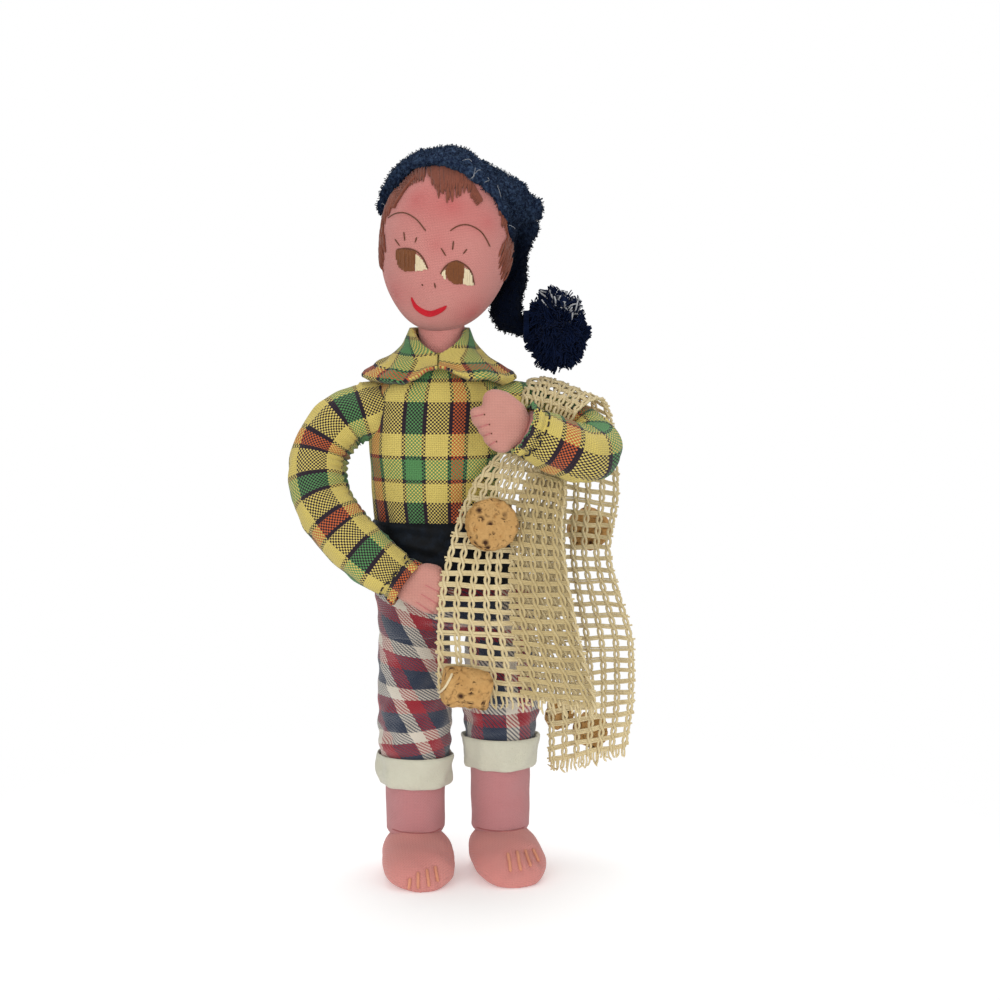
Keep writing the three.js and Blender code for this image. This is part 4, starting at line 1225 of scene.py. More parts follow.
class DOLL_OT_legs(bpy.types.Operator):
    """Makes the stuffed legs and the feet with their stitched toes"""

    bl_idname = "doll.legs"
    bl_label = "Legs and feet"

    # Stitches between the toes and seams at the ankles, as pixels of the photograph's frame
    TOES = {
        "right": [
            [(410, 878), (409, 889)], [(418, 872), (418, 889)], [(427, 869), (429, 887)],
            [(435, 866), (438, 882)],
        ],
        "left": [
            [(508, 853), (511, 872)], [(517, 851), (521, 871)], [(525, 850), (531, 867)],
            [(533, 849), (539, 862)],
        ],
    }
    ANKLES = {
        "right": [(392, 829), (402, 832), (415, 833.5), (428, 833), (437, 830.5), (441, 828)],
        "left": [(476, 827), (485, 829.5), (498, 831), (511, 831), (520, 829), (525, 826.5)],
    }
    # Height and radius
    LEG_RADII = (
        (11.5, 6.5), (12.8, 9.0), (13.8, 9.8), (20, 9.9), (47.5, 10.2), (60, 9.8), (68, 8.2),
        (84, 6.8), (90, 5.4),
    )
    LOWEST = 0.05

    def execute(self, context):
        peach = thread_finish("peach_thread")
        shin = skin_finish("shin_cotton", colours().shin)
        rouge = [(np.array([hip[0], hip[1] - 24, 2]), 22, 0.1) for hip in HIPS.values()]
        sole = skin_finish("foot_cotton", colours().skin, rouge)
        for side, hip in HIPS.items():
            self.make_leg(side, hip, shin)
            self.make_foot(side, sole, peach)
        return {"FINISHED"}

    def make_leg(self, side, hip, skin):
        heights = np.linspace(11.5, HIP_HEIGHT + 6, 90)
        turns = even_turns(48, -math.pi / 2)
        radius = np.interp(heights, *zip(*self.LEG_RADII))[:, None]
        bare = level_rings(hip, radius, turns, heights[:, None])
        swell = soft_noise(bare, size=6, seed=21)[..., None] * 0.16
        outward = unit((bare - hip) * [1, 1, 0])
        cloth = cloth_places(heights, closed(turns) * CLOTH_RADII["leg"])
        leg = tube_piece(f"{side}_leg_bag", bare + outward * swell, cloth)
        put_on(leg, skin, f"{side}_leg", [f"{side}_leg"])

    def make_foot(self, side, skin, peach):
        foot = remeshed_copy(f"{side}_foot_bag", f"{side}_foot", voxel=0.9, smoothing=14)
        mesh = foot.data
        points = mesh_points(mesh)
        puff = 0.5 + 0.25 * soft_noise(points, size=6, seed=31)
        points = points + mesh_normals(mesh) * puff[:, None]
        points[:, 2] = np.maximum(points[:, 2], self.LOWEST)
        move_points(mesh, points)
        press_grooves(mesh, Surface(foot).traces(self.TOES[side], 0.0), width=1.1, depth=0.75)
        toes = Surface(foot).traces(self.TOES[side], 0.25)
        seam = Surface(foot, piece_of(f"{side}_leg_bag")).trace(self.ANKLES[side], 0.05)
        spread_flat(mesh, (1, 0, 0), (0, 0.7, 0.7))
        put_on(foot, skin, f"{side}_leg", [f"{side}_foot"])
        sew(f"{side}_toe_stitches", toes, 0.56, peach, f"{side}_leg", taper=True)
        rose = thread_finish("rose_thread")
        sew(f"{side}_ankle_seam", [seam], 0.24, rose, f"{side}_leg", taper=True)


class DOLL_OT_trousers(bpy.types.Operator):
    """Makes the checked trousers and their turned-up cuffs"""

    bl_idname = "doll.trousers"
    bl_label = "Trousers and cuffs"

    THICKNESS = 1.0
    LEG_RADIUS = 12.0
    # Room between the seat and the legs, and between the seat and the body
    SEAT_EASE = 0.4
    BODY_EASE = 1.7
    SEAT_DIP = 8.6
    SEAT_TOP = 107.7
    # Height at which the seat starts to pass from the legs to the body, and how soon it has
    PASSING = (82, 13)
    # Turn from the front at which each leg's cloth starts, on the side towards the other leg
    INSEAMS = {"right": -1.5 * math.pi, "left": -0.5 * math.pi}
    RIM_HEIGHT = 80.5
    # How far the seat's rim is tucked in, and the height over which it comes out
    RIM_TUCK = 0.8
    RIM_COVER = 5.5
    HEMS = {"right": 29.5, "left": 35.0}
    CUFF_HEIGHT = 10.5
    # How much higher the cuff's top is towards one turn, and that turn
    CUFF_LEAN = 0.7
    CUFF_LEAN_TURN = math.radians(250)
    # Height above the hem of a ring of deeper folds, and its width
    FOLD_RING = (17, 6)
    # How the check lies on each leg: lean of its upright bands, height where it is level, twist of
    # its level bands with height, and the shifts that bring its bands to their places
    CHECKS = {"right": (0.56, 58.0, 0.009, -12.7, 60.2), "left": (0.05, 50.0, 0.002, 8.8, 54.5)}
    # Rises above the hips, given for each leg's cloth
    BEND_SPAN = (1, -15)
    SEEDS = {"right": 51, "left": 52}
    # Radius and height of the cuff's wall, from its inner foot up outside and down inside again
    CUFF_PROFILE = [
        (10.5, 0.8), (10.8, 0.2), (11.4, 0.0), (12.0, 0.6), (12.3, 2.0), (12.6, 4.5), (12.9, 7.0),
        (13.1, 8.6), (13.1, 9.6), (12.7, 10.2), (12.2, 9.8), (11.9, 8.4), (11.7, 5.0), (11.1, 2.6),
        (10.6, 1.8),
    ]

    def execute(self, context):
        bands = (TROUSER_WARP, TROUSER_WEFT)
        flannel = finish_of("trouser_check", checked_cotton, *bands, sizes().trouser_thread, True, 0.3)
        self.make_seat(flannel)
        felt = finish_of("cuff_felt", soft_felt, tuple(colours().felt), linear(184, 180, 160))
        for side, hip in HIPS.items():
            self.make_leg(side, hip, flannel)
            self.make_cuff(side, hip, felt)
        return {"FINISHED"}

    def seat_outline(self, middle, turns):
        """Reach from the seat's middle to the outline round both legs, with a dip at the seam."""
        radius = self.LEG_RADIUS + self.SEAT_EASE
        heading = np.stack([np.sin(turns), -np.cos(turns)], axis=-1)
        reach = np.full(len(turns), self.SEAT_DIP)
        for hip in HIPS.values():
            offset = (hip - middle)[:2]
            ahead = heading @ offset
            inside = radius**2 - (offset @ offset - ahead**2)
            hit = np.where(inside > 0, ahead + np.sqrt(np.maximum(inside, 0)), 0)
            reach = np.maximum(reach, hit)
        rounded = reach.copy()
        for _ in range(5):
            rounded = (np.roll(rounded, 1) + rounded + np.roll(rounded, -1)) / 3
        return np.maximum(rounded, reach)

    def bag_reach(self, middle, heights, turns):
        """Reach from the seat's middle to the stuffed body, with room outside it."""
        rises = np.maximum(heights - HIP_HEIGHT, BODY_SECTIONS[0, 0])
        centre, half_width, half_depth = body_sections(rises)
        half_width = half_width + self.BODY_EASE
        half_depth = half_depth + self.BODY_EASE
        across = np.sin(turns)[None] / half_width
        ahead = -np.cos(turns)[None] / half_depth
        x = (middle[0] - centre) / half_width
        y = middle[1] / half_depth
        square = across**2 + ahead**2
        slope = x * across + y * ahead
        return (np.sqrt(slope**2 - square * (x**2 + y**2 - 1)) - slope) / square

    def make_seat(self, flannel):
        turns = even_turns(120, -math.pi)
        heights = np.concatenate([np.linspace(self.RIM_HEIGHT, 93, 20), np.linspace(94, self.SEAT_TOP, 16)])
        middle = (HIPS["right"] + HIPS["left"]) / 2
        legs = self.seat_outline(middle, turns)[None]
        bag = self.bag_reach(middle, heights, turns)
        share = np.clip((heights - self.PASSING[0]) / self.PASSING[1], 0, 1)
        share = (share * share * (3 - 2 * share))[:, None]
        cover = np.clip((heights - self.RIM_HEIGHT) / self.RIM_COVER, 0, 1)[:, None]
        reach = np.maximum(legs * (1 - share) + bag * share, bag * cover)
        reach = reach - self.RIM_TUCK * (1 - cover)
        outer = oval_rings(middle, reach, reach, turns, heights[:, None])
        folds = (soft_noise(outer * [1, 1, 0.5], size=5, seed=41) + 0.8) * 0.2 * cover
        outer = outer + oval_rings((0, 0), folds, folds, turns, 0.0)
        cloth = self.seat_check(np.concatenate([outer, outer[:, :1]], axis=1))
        seat = cloth_tube("trouser_seat_cloth", outer, self.THICKNESS, cloth)
        put_on(seat, flannel, "torso", ["trouser_seat"])

    def make_leg(self, side, hip, flannel):
        hem = self.HEMS[side] + 1.5
        heights = np.linspace(hem, HIP_HEIGHT + 4, 110)
        turns = even_turns(84, self.INSEAMS[side])
        radius = np.interp(heights, [hem, hem + 14, 62, 76, 84, 88], [11.2, 12.0, 12.2, 12.0, 11.2, 10.4])
        radius = radius[:, None]
        flat = oval_rings(hip, radius, radius, turns, heights[:, None])
        outward = unit((flat - hip) * [1, 1, 0])
        crumple = soft_noise(flat * [1, 1, 1.7], size=4.5, seed=self.SEEDS[side])
        rings_of_folds = bell(heights - (hem + self.FOLD_RING[0]), self.FOLD_RING[1])[:, None]
        depth = sizes().fold_depth * (0.55 + 0.7 * rings_of_folds)
        depth = depth * np.clip((HIP_HEIGHT - heights) / 9, 0, 1)[:, None]
        outer = flat + outward * (crumple * depth)[..., None]
        around = closed(turns) * self.LEG_RADIUS
        cloth = self.lay_check(side, *np.meshgrid(heights, around, indexing="ij"))
        leg = cloth_tube(f"{side}_trouser_cloth", outer, self.THICKNESS, cloth)
        put_between(leg, flannel, [f"{side}_trouser_leg"])

    def lay_check(self, side, height, around):
        """Cloth coordinates of a leg whose check hangs askew."""
        lean, level, twist, sideways, upwards = self.CHECKS[side]
        across = around + lean * height + sideways
        along = upwards - height - np.clip(around, -20, 20) * (height - level) * twist
        return np.stack([across, along], axis=-1)

    def seat_check(self, points):
        """Cloth coordinates that carry each leg's check up over its half of the seat."""
        places = []
        for side, outward in (("right", -1), ("left", 1)):
            hip = HIPS[side]
            turn = np.arctan2((points[..., 0] - hip[0]) * outward, hip[1] - points[..., 1])
            turn = np.where(turn < -math.pi / 2, turn + math.tau, turn)
            places.append(self.lay_check(side, points[..., 2], outward * turn * self.LEG_RADIUS))
        on_right = points[..., 0] < (HIPS["right"][0] + HIPS["left"][0]) / 2
        return np.where(on_right[..., None], *places)

    def make_cuff(self, side, hip, felt):
        """A felt band, turned up: its wall comes up outside, rolls over at the top and ends inside."""
        hem = self.HEMS[side]
        turns = even_turns(96)
        profile = [(radius, 0, rise) for radius, rise in self.CUFF_PROFILE + self.CUFF_PROFILE[:1]]
        curve = smooth_curve(profile, 4)[0][:-1]
        radius = curve[:, :1]
        rise = curve[:, 2:]
        lean = self.CUFF_LEAN * np.cos(turns - self.CUFF_LEAN_TURN)
        rings = level_rings(hip, radius, turns, hem + rise + lean * (rise / self.CUFF_HEIGHT))
        centre = np.array([hip[0], hip[1], hem + 5])
        outward = unit((rings - centre) * [1, 1, 0.6])
        rings = rings + outward * (soft_noise(rings, size=5, seed=61) * 0.45)[..., None]
        steps = np.linspace(0, 30, len(rings))
        cloth = cloth_places(steps, closed(turns) * CLOTH_RADII["cuff"])
        cuff = tube_piece(f"{side}_cuff_felt", rings, cloth, ring_wrap=True)
        put_on(cuff, felt, f"{side}_leg", [f"{side}_cuff"])


class DOLL_OT_shirt(bpy.types.Operator):
    """Makes the checked shirt: body, sleeves with their gathered ends, and collar"""

    bl_idname = "doll.shirt"
    bl_label = "Shirt"

    EASE = 1.5
    HEM = 23
    # Height above the hips of the gathers at the sash, the width of their band, and their number
    WAIST = (36, 5)
    WAIST_GATHERS = 17
    COLLAR_SHIFT = np.array([-0.6, 0.6, 0])
    # Where the check starts down the collar on its right, and how much higher it is on its left
    COLLAR_START = 11.2
    COLLAR_SKEW = 3.9
    COLLAR_CUTAWAY = 0.2
    COLLAR_CUT_WIDTH = 0.045
    COLLAR_RUMPLE = 0.55
    # Angle from the front at which the collar's edges stand, by the drop from the body's top
    COLLAR_DROPS = [-7, -4, -1.6, 1.3, 6, 9.6]
    COLLAR_OPENINGS = np.radians([62, 40, 22, 1.2, 0.4, 5])
    GATHER_BACK = 3.2
    # Each sleeve's seam, and its check: millimetres of warp to a millimetre from the wrist, the
    # warp at the wrist, and the turn where the weft's first band starts
    SEAMS = {"right": -math.pi, "left": -1.5 * math.pi}
    CHECKS = {"right": (1.0, 11.3, -0.14), "left": (0.85, -0.3, -1.8)}
    SLEEVE_ROOT = 8
    RUFFLES = 11
    CREASE_PITCH = 3.4
    # Bend, in radians to a millimetre, at which the creases are deepest
    CREASE_BEND = 0.06
    SEEDS = {"right": 81, "left": 82}
    # The heading in which each arm leaves the body, and two reaches along it
    LEAVES = {"right": (-0.8, -0.2, -0.56), "left": (0.8, -0.6, 0.0)}
    LEAVE_SPAN = (-6.0, 4.0)

    def execute(self, context):
        bands = (SHIRT_WARP, SHIRT_WEFT)
        cotton = finish_of("shirt_check", checked_cotton, *bands, sizes().shirt_thread)
        self.make_body(cotton)
        self.make_collar(cotton)
        for side, limb in LIMBS.items():
            self.make_sleeve(side, limb, cotton)
        return {"FINISHED"}

    def make_body(self, cotton):
        rises = np.linspace(self.HEM, BODY_SECTIONS[-1, 0], 100)
        turns = even_turns(160, -math.pi)
        flat = body_rings(rises, turns, self.EASE)
        folds = soft_noise(flat * [1, 1, 0.55], size=6, seed=71) * 0.28
        gathers = np.sin(turns * self.WAIST_GATHERS + 1)[None]
        waist = bell(rises - self.WAIST[0], self.WAIST[1])[:, None] * gathers * 0.3
        outer = body_rings(rises, turns, self.EASE + folds + waist)
        around = body_around(rises, turns, self.EASE)
        cloth = cloth_places(rises + HIP_HEIGHT, around, SHIRT_START)
        shirt = cloth_tube("shirt_cloth", outer, sizes().shirt_cloth, cloth)
        put_on(shirt, cotton, "torso", ["shirt_body"])

    def make_sleeve(self, side, limb, cotton):
        upper = np.linspace(-self.SLEEVE_ROOT, limb.length - 5, 156)
        lower = np.linspace(limb.length - 4.7, limb.length + 1.2, 22)
        distances = np.concatenate([upper, lower])
        turns = even_turns(84, self.SEAMS[side])
        flat = limb.rings(distances, turns, self.EASE)
        curve = np.gradient(unit(limb.along(limb.tangent, distances)), axis=0)
        bend = np.linalg.norm(curve, axis=1) / np.gradient(distances)
        inward = unit(curve)
        spokes = unit(flat - flat.mean(axis=1, keepdims=True))
        inside = np.clip(np.sum(spokes * inward[:, None], axis=-1), 0, 1) ** 1.5
        crease = np.sin(distances / self.CREASE_PITCH * math.tau + 1.2 * np.sin(distances / 9))[:, None]
        bent = np.clip(bend / self.CREASE_BEND, 0, 1)[:, None]
        crease = crease * inside * bent * sizes().fold_depth * 1.1
        crumple = soft_noise(flat, size=4.5, seed=self.SEEDS[side]) * sizes().fold_depth * 0.5
        to_end = limb.length - distances
        stitched = bell(to_end - self.GATHER_BACK, 0.9)[:, None] * -0.75
        ruffle = np.clip(1 - to_end / self.GATHER_BACK, 0, 1.4)[:, None]
        ruffle = ruffle * (0.35 + 0.55 * np.sin(turns * self.RUFFLES)[None])
        sunk = np.clip(-distances / 6, 0, 1)[:, None] * -2.0
        outer = limb.rings(distances, turns, self.EASE + crease + crumple + stitched + ruffle + sunk)
        scale, start, first = self.CHECKS[side]
        around = (first - closed(turns)) * CLOTH_RADII["sleeve"]
        cloth = cloth_places(to_end * scale + start, around)[..., ::-1]
        sleeve = cloth_tube(f"{side}_sleeve_cloth", outer, sizes().shirt_cloth, cloth)
        near, far = (limb.line[0] + unit(self.LEAVES[side]) * reach for reach in self.LEAVE_SPAN)
        put_between(sleeve, cotton, [f"{side}_sleeve"])
        self.sew_end(side, limb, sleeve)

    def sew_end(self, side, limb, sleeve):
        """A row of black running stitches that gathers the sleeve's end."""
        black = thread_finish("black_thread")
        turns = np.linspace(0, math.tau, 61)
        ring = limb.rings(np.array([limb.length - self.GATHER_BACK]), turns, self.EASE + 1)[0]
        surface = Surface(sleeve)
        line = np.array([surface.near(point, 0.1) for point in ring])
        name = f"{side}_sleeve_stitches"
        inputs = {"Spacing": 2.9 * MM, "Length": 1.9 * MM, "Radius": 0.3 * MM, "Material": black}
        stitches = grow(name, line_mesh(name, [line]), TREES["stitches"], inputs)
        put_on(stitches, black, f"{side}_arm")

    def make_collar(self, cotton):
        """A turned-down collar: open at the throat, spread over the shoulders, with folded edges."""
        steps, _ = smooth_curve(COLLAR_SECTIONS[:, [1, 2, 0]], 12)
        length = lengths_along(steps)
        shares = np.linspace(0, 1, 141)
        to_front = np.minimum(shares, 1 - shares)[None]
        cut = 1 - self.COLLAR_CUTAWAY * bell(to_front, self.COLLAR_CUT_WIDTH)
        down = length[:, None] * cut
        half_width, half_depth, rise = (np.interp(down, length, column) for column in steps.T)
        opening = np.interp(-rise[:, :1], self.COLLAR_DROPS, self.COLLAR_OPENINGS)
        turns = opening + (math.tau - 2 * opening) * shares[None]
        from_edge = to_front * math.tau * half_width
        from_hem = (length[-1] - length)[:, None] * cut
        wave = np.sin(turns * 3 + 0.6) * 0.5 + np.sin(turns * 7 + 2) * 0.25
        spread = np.clip(length / length[-1], 0, 1)[:, None]
        folded = 0.6 * bell(from_edge, 1.5) + 1.3 * bell(from_hem, 1.7)
        middle = NECK + self.COLLAR_SHIFT

        def surface(grown):
            heights = middle[2] + rise + 0.1 + grown * 0.55 + wave * spread**2 * 0.9
            return oval_rings(middle, half_width + grown, half_depth + grown, turns, heights)

        rumple = (soft_noise(surface(1.0), size=4.0, seed=73) + 0.3) * self.COLLAR_RUMPLE * spread
        lift = 1.2 + wave * spread * 1.1 + folded * 0.6 + rumple
        outer = surface(lift)
        inner = surface(lift - 1.0 - folded * 0.7)
        fall = down - self.COLLAR_START + self.COLLAR_SKEW * (1 - shares)[None]
        edge = np.broadcast_to(to_front * 100, fall.shape)
        collar = cloth_panel("collar_cloth", outer, inner, np.stack([fall, edge], axis=-1))
        put_on(collar, cotton, "torso", ["collar"])


class DOLL_OT_sash(bpy.types.Operator):
    """Makes the dark velvet sash, wound round the waist in soft folds"""

    bl_idname = "doll.sash"
    bl_label = "Sash"

    BOTTOM = 14
    TOP = 35
    EASE = 2.9
    THICKNESS = 1.3
    FOLD_PITCH = 6.2

    def execute(self, context):
        pile = finish_of("sash_velvet", velvet, tuple(colours().sash))
        rises = np.linspace(self.BOTTOM, self.TOP, 60)
        turns = even_turns(120, -math.pi)
        flat = body_rings(rises, turns, self.EASE)
        slope = 0.12 * np.sin(turns)[None]
        sway = 0.25 * np.sin(turns * 2)[None]
        folds = np.sin((rises[:, None] / self.FOLD_PITCH + slope + sway) * math.tau) * 0.42
        edge = np.minimum(rises - self.BOTTOM, self.TOP - rises)
        rolled = -0.9 * bell(edge, 0.9)[:, None]
        crumple = soft_noise(flat, size=5, seed=91) * 0.3
        outer = body_rings(rises, turns, self.EASE + folds + rolled + crumple)
        cloth = cloth_places(rises, closed(turns) * CLOTH_RADII["body"])
        sash = cloth_tube("sash_wrap", outer, self.THICKNESS, cloth)
        put_on(sash, pile, "torso", ["sash"])
        return {"FINISHED"}


class DOLL_OT_hands(bpy.types.Operator):
    """Makes the stuffed mitts with their stitched fingers"""

    bl_idname = "doll.hands"
    bl_label = "Hands"

    # Stitches between the fingers, as pixels of the photograph's frame
    FINGERS = {
        "left": [
            [(484, 414), (476, 416), (469, 417)],
            [(489, 424), (481, 427), (472, 430)],
            [(491, 433), (484, 436), (477, 440)],
            [(496, 441), (490, 445), (484, 449)],
        ],
        "right": [
            [(425, 585), (435, 590), (446, 596)],
            [(421, 594), (431, 600), (441, 607)],
            [(416, 602), (425, 608), (434, 614)],
        ],
    }
    KNOT_SPAN = 1.2

    def execute(self, context):
        skin = skin_finish("hand_cotton", colours().palm)
        for side in ("right", "left"):
            self.make_hand(side, skin)
        surface = Surface(piece_of("left_hand_bag"))
        knots = []
        for (x, y), *_ in self.FINGERS["left"]:
            knots.append(surface.trace([(x, y), (x + self.KNOT_SPAN, y + self.KNOT_SPAN)], 0.05))
        sew("left_finger_knots", knots, 0.3, thread_finish("brown_thread"), "left_arm", taper=True)
        return {"FINISHED"}

    def make_hand(self, side, skin):
        hand = remeshed_copy(f"{side}_hand_bag", f"{side}_hand", voxel=0.6, smoothing=10)
        mesh = hand.data
        push_out(mesh, 0.5 + 0.18 * soft_noise(mesh_points(mesh), size=3.5, seed=101))
        press_grooves(mesh, Surface(hand).traces(self.FINGERS[side], 0.0), width=0.8, depth=0.6)
        spread_flat(mesh, (1, 0, 0), (0, 0, 1))
        fingers = Surface(hand).traces(self.FINGERS[side], 0.05)
        put_on(hand, skin, f"{side}_arm", [f"{side}_hand"])
        pink = thread_finish("pink_thread")
        sew(f"{side}_finger_stitches", fingers, 0.2, pink, f"{side}_arm", taper=True)


class DOLL_OT_head(bpy.types.Operator):
    """Makes the stuffed head and its stitched face"""

    bl_idname = "doll.head"
    bl_label = "Head and face"

    # The face's lines and outlines, as pixels of the photograph's frame
    BROWS = [
        [(388, 218), (396, 213.5), (405, 213), (416, 219), (426, 231)],
        [(450, 231), (458, 226), (468, 225), (480, 231), (486, 239), (490, 247)],
    ]
    LASHES = [
        [(395, 239), (400, 246)], [(404, 232), (405, 241)], [(417, 237), (415, 243)],
        [(441, 248), (446, 256)], [(453.5, 241), (452.5, 250)], [(467, 249), (463, 254)],
    ]
    IRISES = [
        [
            (396.5, 250), (405, 249.5), (415.5, 251), (416, 260), (414, 271), (405, 271), (399, 267),
            (397, 259),
        ],
        [
            (446, 268), (449, 263), (457, 261.5), (463, 264), (464, 273), (462, 284), (454, 284),
            (448, 279), (445.5, 273),
        ],
    ]
    WHITES = [
        [(416, 254), (420, 257), (424, 262), (427, 269), (422, 270.5), (415.5, 271)],
        [(442, 272), (445.5, 269), (446.5, 275), (446, 279.5), (443, 278)],
        [(464, 267), (469, 270), (472, 276), (473, 285), (468, 285), (463, 284)],
    ]
    LIDS = [
        [(397, 249.5), (407, 248.5), (416, 251), (423, 258), (428, 269)],
        [(440.5, 274), (446, 266), (456, 261), (465, 265), (471, 272), (474, 285)],
    ]
    NOSTRILS = [[(422, 284), (423, 286)], [(434.5, 283), (435.5, 288)]]
    MOUTH_TOP = [(411.5, 297), (416, 304), (423, 309), (431, 311), (439, 308.5), (447, 305.5)]
    MOUTH_BOTTOM = [(411.5, 299), (415, 308), (422, 314), (430, 316.5), (439, 313.5), (446, 308)]
    # Place, reach in mm and strength of each touch of rouge; the three on the forehead and temple, under
    # the cap's edge, are also painted shade from the cap
    ROUGE_AND_SHADE = [
        ((396, 294), 11, 0.5), ((472, 314), 12, 0.75), ((452, 205), 16, 0.65), ((415, 200), 14, 0.6),
        ((488, 222), 12, 0.5), ((436, 245), 9, 0.3),
    ]
    CHEEKS = ([-11, -17, -8], [11, -17, -8])
    # How far the cheeks puff out, and the square of that puff's width
    CHEEK_PUFF = 0.7
    CHEEK_SPREAD = 60
    CHIN_FORWARD = 5.0

    def execute(self, context):
        surface = Surface(self.make_head())
        fine = surface.traces(self.BROWS + self.LASHES, 0.12) + surface.traces(self.NOSTRILS, 0.12, 0.6)
        lids = surface.traces(self.LIDS, 0.2)
        top = np.array(self.MOUTH_TOP)
        bottom = np.array(self.MOUTH_BOTTOM)
        mouth = surface.traces([top + (bottom - top) * share for share in np.linspace(0.1, 0.9, 5)], 0.14)
        self.stitch("brows_and_lashes", fine, 0.23, "brown_thread", True)
        self.stitch("eye_outlines", lids, 0.26, "brown_thread", True)
        self.stitch("irises", self.filled(surface, self.IRISES, 0.22, 200), 0.3, "iris_thread")
        self.stitch("eye_whites", self.filled(surface, self.WHITES, 0.16, 210), 0.28, "cream_thread")
        self.stitch("mouth", mouth, 0.28, "red_thread", True)
        return {"FINISHED"}

    def stitch(self, name, lines, radius, thread, taper=False):
        sew(name, lines, radius, thread_finish(thread), "head", taper=taper)

    def filled(self, surface, shapes, height, seed):
        """Satin stitches that fill each shape."""
        lines = []
        for k, shape in enumerate(shapes):
            lines += surface.satin(shape, 1.3, height, seed + k)
        return lines

    def make_head(self):
        tilts = np.radians(np.linspace(2, 178, 110))
        level = -np.cos(tilts)
        turns = even_turns(132, -math.pi)
        girth = (np.sin(tilts) * (1 + 0.03 * level))[:, None]
        forward = (-self.CHIN_FORWARD * np.maximum(-level, 0) ** 2)[:, None]
        heights = level[:, None] * HEAD_HALF[2]
        upright = oval_rings((0, forward), girth * HEAD_HALF[0], girth * HEAD_HALF[1], turns, heights)
        puff = soft_noise(upright, size=9, seed=111) * 0.16
        for cheek in self.CHEEKS:
            square = np.sum((upright - cheek) ** 2, axis=-1)
            puff = puff + self.CHEEK_PUFF * np.exp(-square / self.CHEEK_SPREAD)
        upright = upright + unit(upright) * puff[..., None]
        rings = turned_head(upright) + HEAD
        cloth = cloth_places(level * HEAD_HALF[2], closed(turns) * CLOTH_RADII["head"])
        head = tube_piece("head_bag", rings, cloth)
        surface = Surface(head)
        rouge = [(surface.under(pixel), reach, strength) for pixel, reach, strength in self.ROUGE_AND_SHADE]
        put_on(head, skin_finish("face_cotton", colours().skin, rouge), "head", ["head"])
        return head


class DOLL_OT_hair(bpy.types.Operator):
    """Makes the hair: brown satin stitches from under the cap's edge"""

    bl_idname = "doll.hair"
    bl_label = "Hair"

    # Rows of roots under the cap's edge and of tips on the brow, as pixels of the photograph's frame
    FRINGES = [
        (
            [(388, 200), (392, 189), (398, 177), (408, 168), (426, 166)],
            [(388, 214), (393, 203), (400, 191), (411, 184), (424, 185)],
        ),
        (
            [(428, 167), (440, 163), (452, 164), (464, 171), (474, 186)],
            [(430, 180), (442, 199), (453, 197), (463, 193), (474, 195)],
        ),
        ([(474, 186), (482, 200)], [(470, 195), (477, 206)]),
    ]
    FRINGE_STITCHES = 46
    SIDE_STITCHES = 2600
    STITCH_DROP = 0.17
    # Angles above the head's middle between which the side stitches start
    SIDE_LEVELS = (-0.3, 0.62)
    CAP_OVERLAP = 3
    HAIRLINE = {"left": math.radians(-62), "right": math.radians(72)}
    LOWEST = -9.0

    def execute(self, context):
        surface = Surface(piece_of("head_bag"))
        chance = np.random.default_rng(120)
        lines = self.fringe_lines(surface, chance) + self.side_lines(surface, chance)
        yarn = finish_of("hair_yarn", spun_thread, tuple(colours().hair), linear(92, 46, 34), 0.8)
        sew("hair_stitches", lines, 0.4, yarn, "head", ["hair"], sides=5, taper=True)
        return {"FINISHED"}

    def fringe_lines(self, surface, chance):
        lines = []
        for roots, tips in self.FRINGES:
            starts, _ = smooth_curve([(*root, 0) for root in roots])
            ends, _ = smooth_curve([(*tip, 0) for tip in tips])
            for layer in range(2):
                for share in np.linspace(0, 1, self.FRINGE_STITCHES):
                    place = np.clip(share + chance.uniform(-0.02, 0.02), 0, 1)
                    root = starts[int(place * (len(starts) - 1))][:2]
                    tip = ends[int(place * (len(ends) - 1))][:2]
                    tip = root + (tip - root) * chance.uniform(0.66, 1.16) * (1 - 0.25 * layer)
                    sway = chance.uniform(-0.8, 0.8, 2)
                    middle = (root + tip) / 2 + sway
                    lines.append(surface.trace([root, middle, tip], 0.25 + layer * 0.3, 3.0))
        return lines

    def side_lines(self, surface, chance):
        """Short stitches down the sides and back of the head, where the cap leaves it bare."""
        lines = []
        for _ in range(self.SIDE_STITCHES):
            level = chance.uniform(*self.SIDE_LEVELS)
            lobes = 0.1 * math.sin(level * 13 + 1.2)
            turn = chance.uniform(self.HAIRLINE["right"] - lobes, math.tau + self.HAIRLINE["left"] + lobes)
            root = self.spot(turn, level)
            drop = self.STITCH_DROP * chance.uniform(0.7, 1.15)
            if self.under_cap(root) or root[2] - drop * HEAD_HALF[2] < self.LOWEST + chance.uniform(-2, 2):
                continue
            forward = chance.uniform(0.02, 0.1) * (1 if turn > math.pi else -1)
            height = chance.uniform(0.2, 0.55)
            line = []
            for share in np.linspace(0, 1, 5):
                heading = turned_head(self.spot(turn + forward * share, level - drop * share))
                line.append(surface.onto(HEAD, heading, height - 0.2 * share**2))
            lines.append(np.array(line))
        return lines

    @staticmethod
    def spot(turn, level):
        """A place on the upright head, by the turn from its front and the angle above its middle."""
        girth = math.cos(level)
        return HEAD_HALF * np.array([math.sin(turn) * girth, -math.cos(turn) * girth, math.sin(level)])

    def under_cap(self, spot):
        """Whether a place lies well inside the cap's edge."""
        flat = math.cos(CAP_EDGE_LEAN)
        normal = np.array(
            [-flat * math.sin(CAP_EDGE_SKEW), flat * math.cos(CAP_EDGE_SKEW), math.sin(CAP_EDGE_LEAN)]
        )
        behind = (spot - CAP_EDGE) @ normal
        above = spot[2] - CAP_NAPE[0] - CAP_NAPE[1] * spot[0]
        return min(behind, above) > self.CAP_OVERLAP


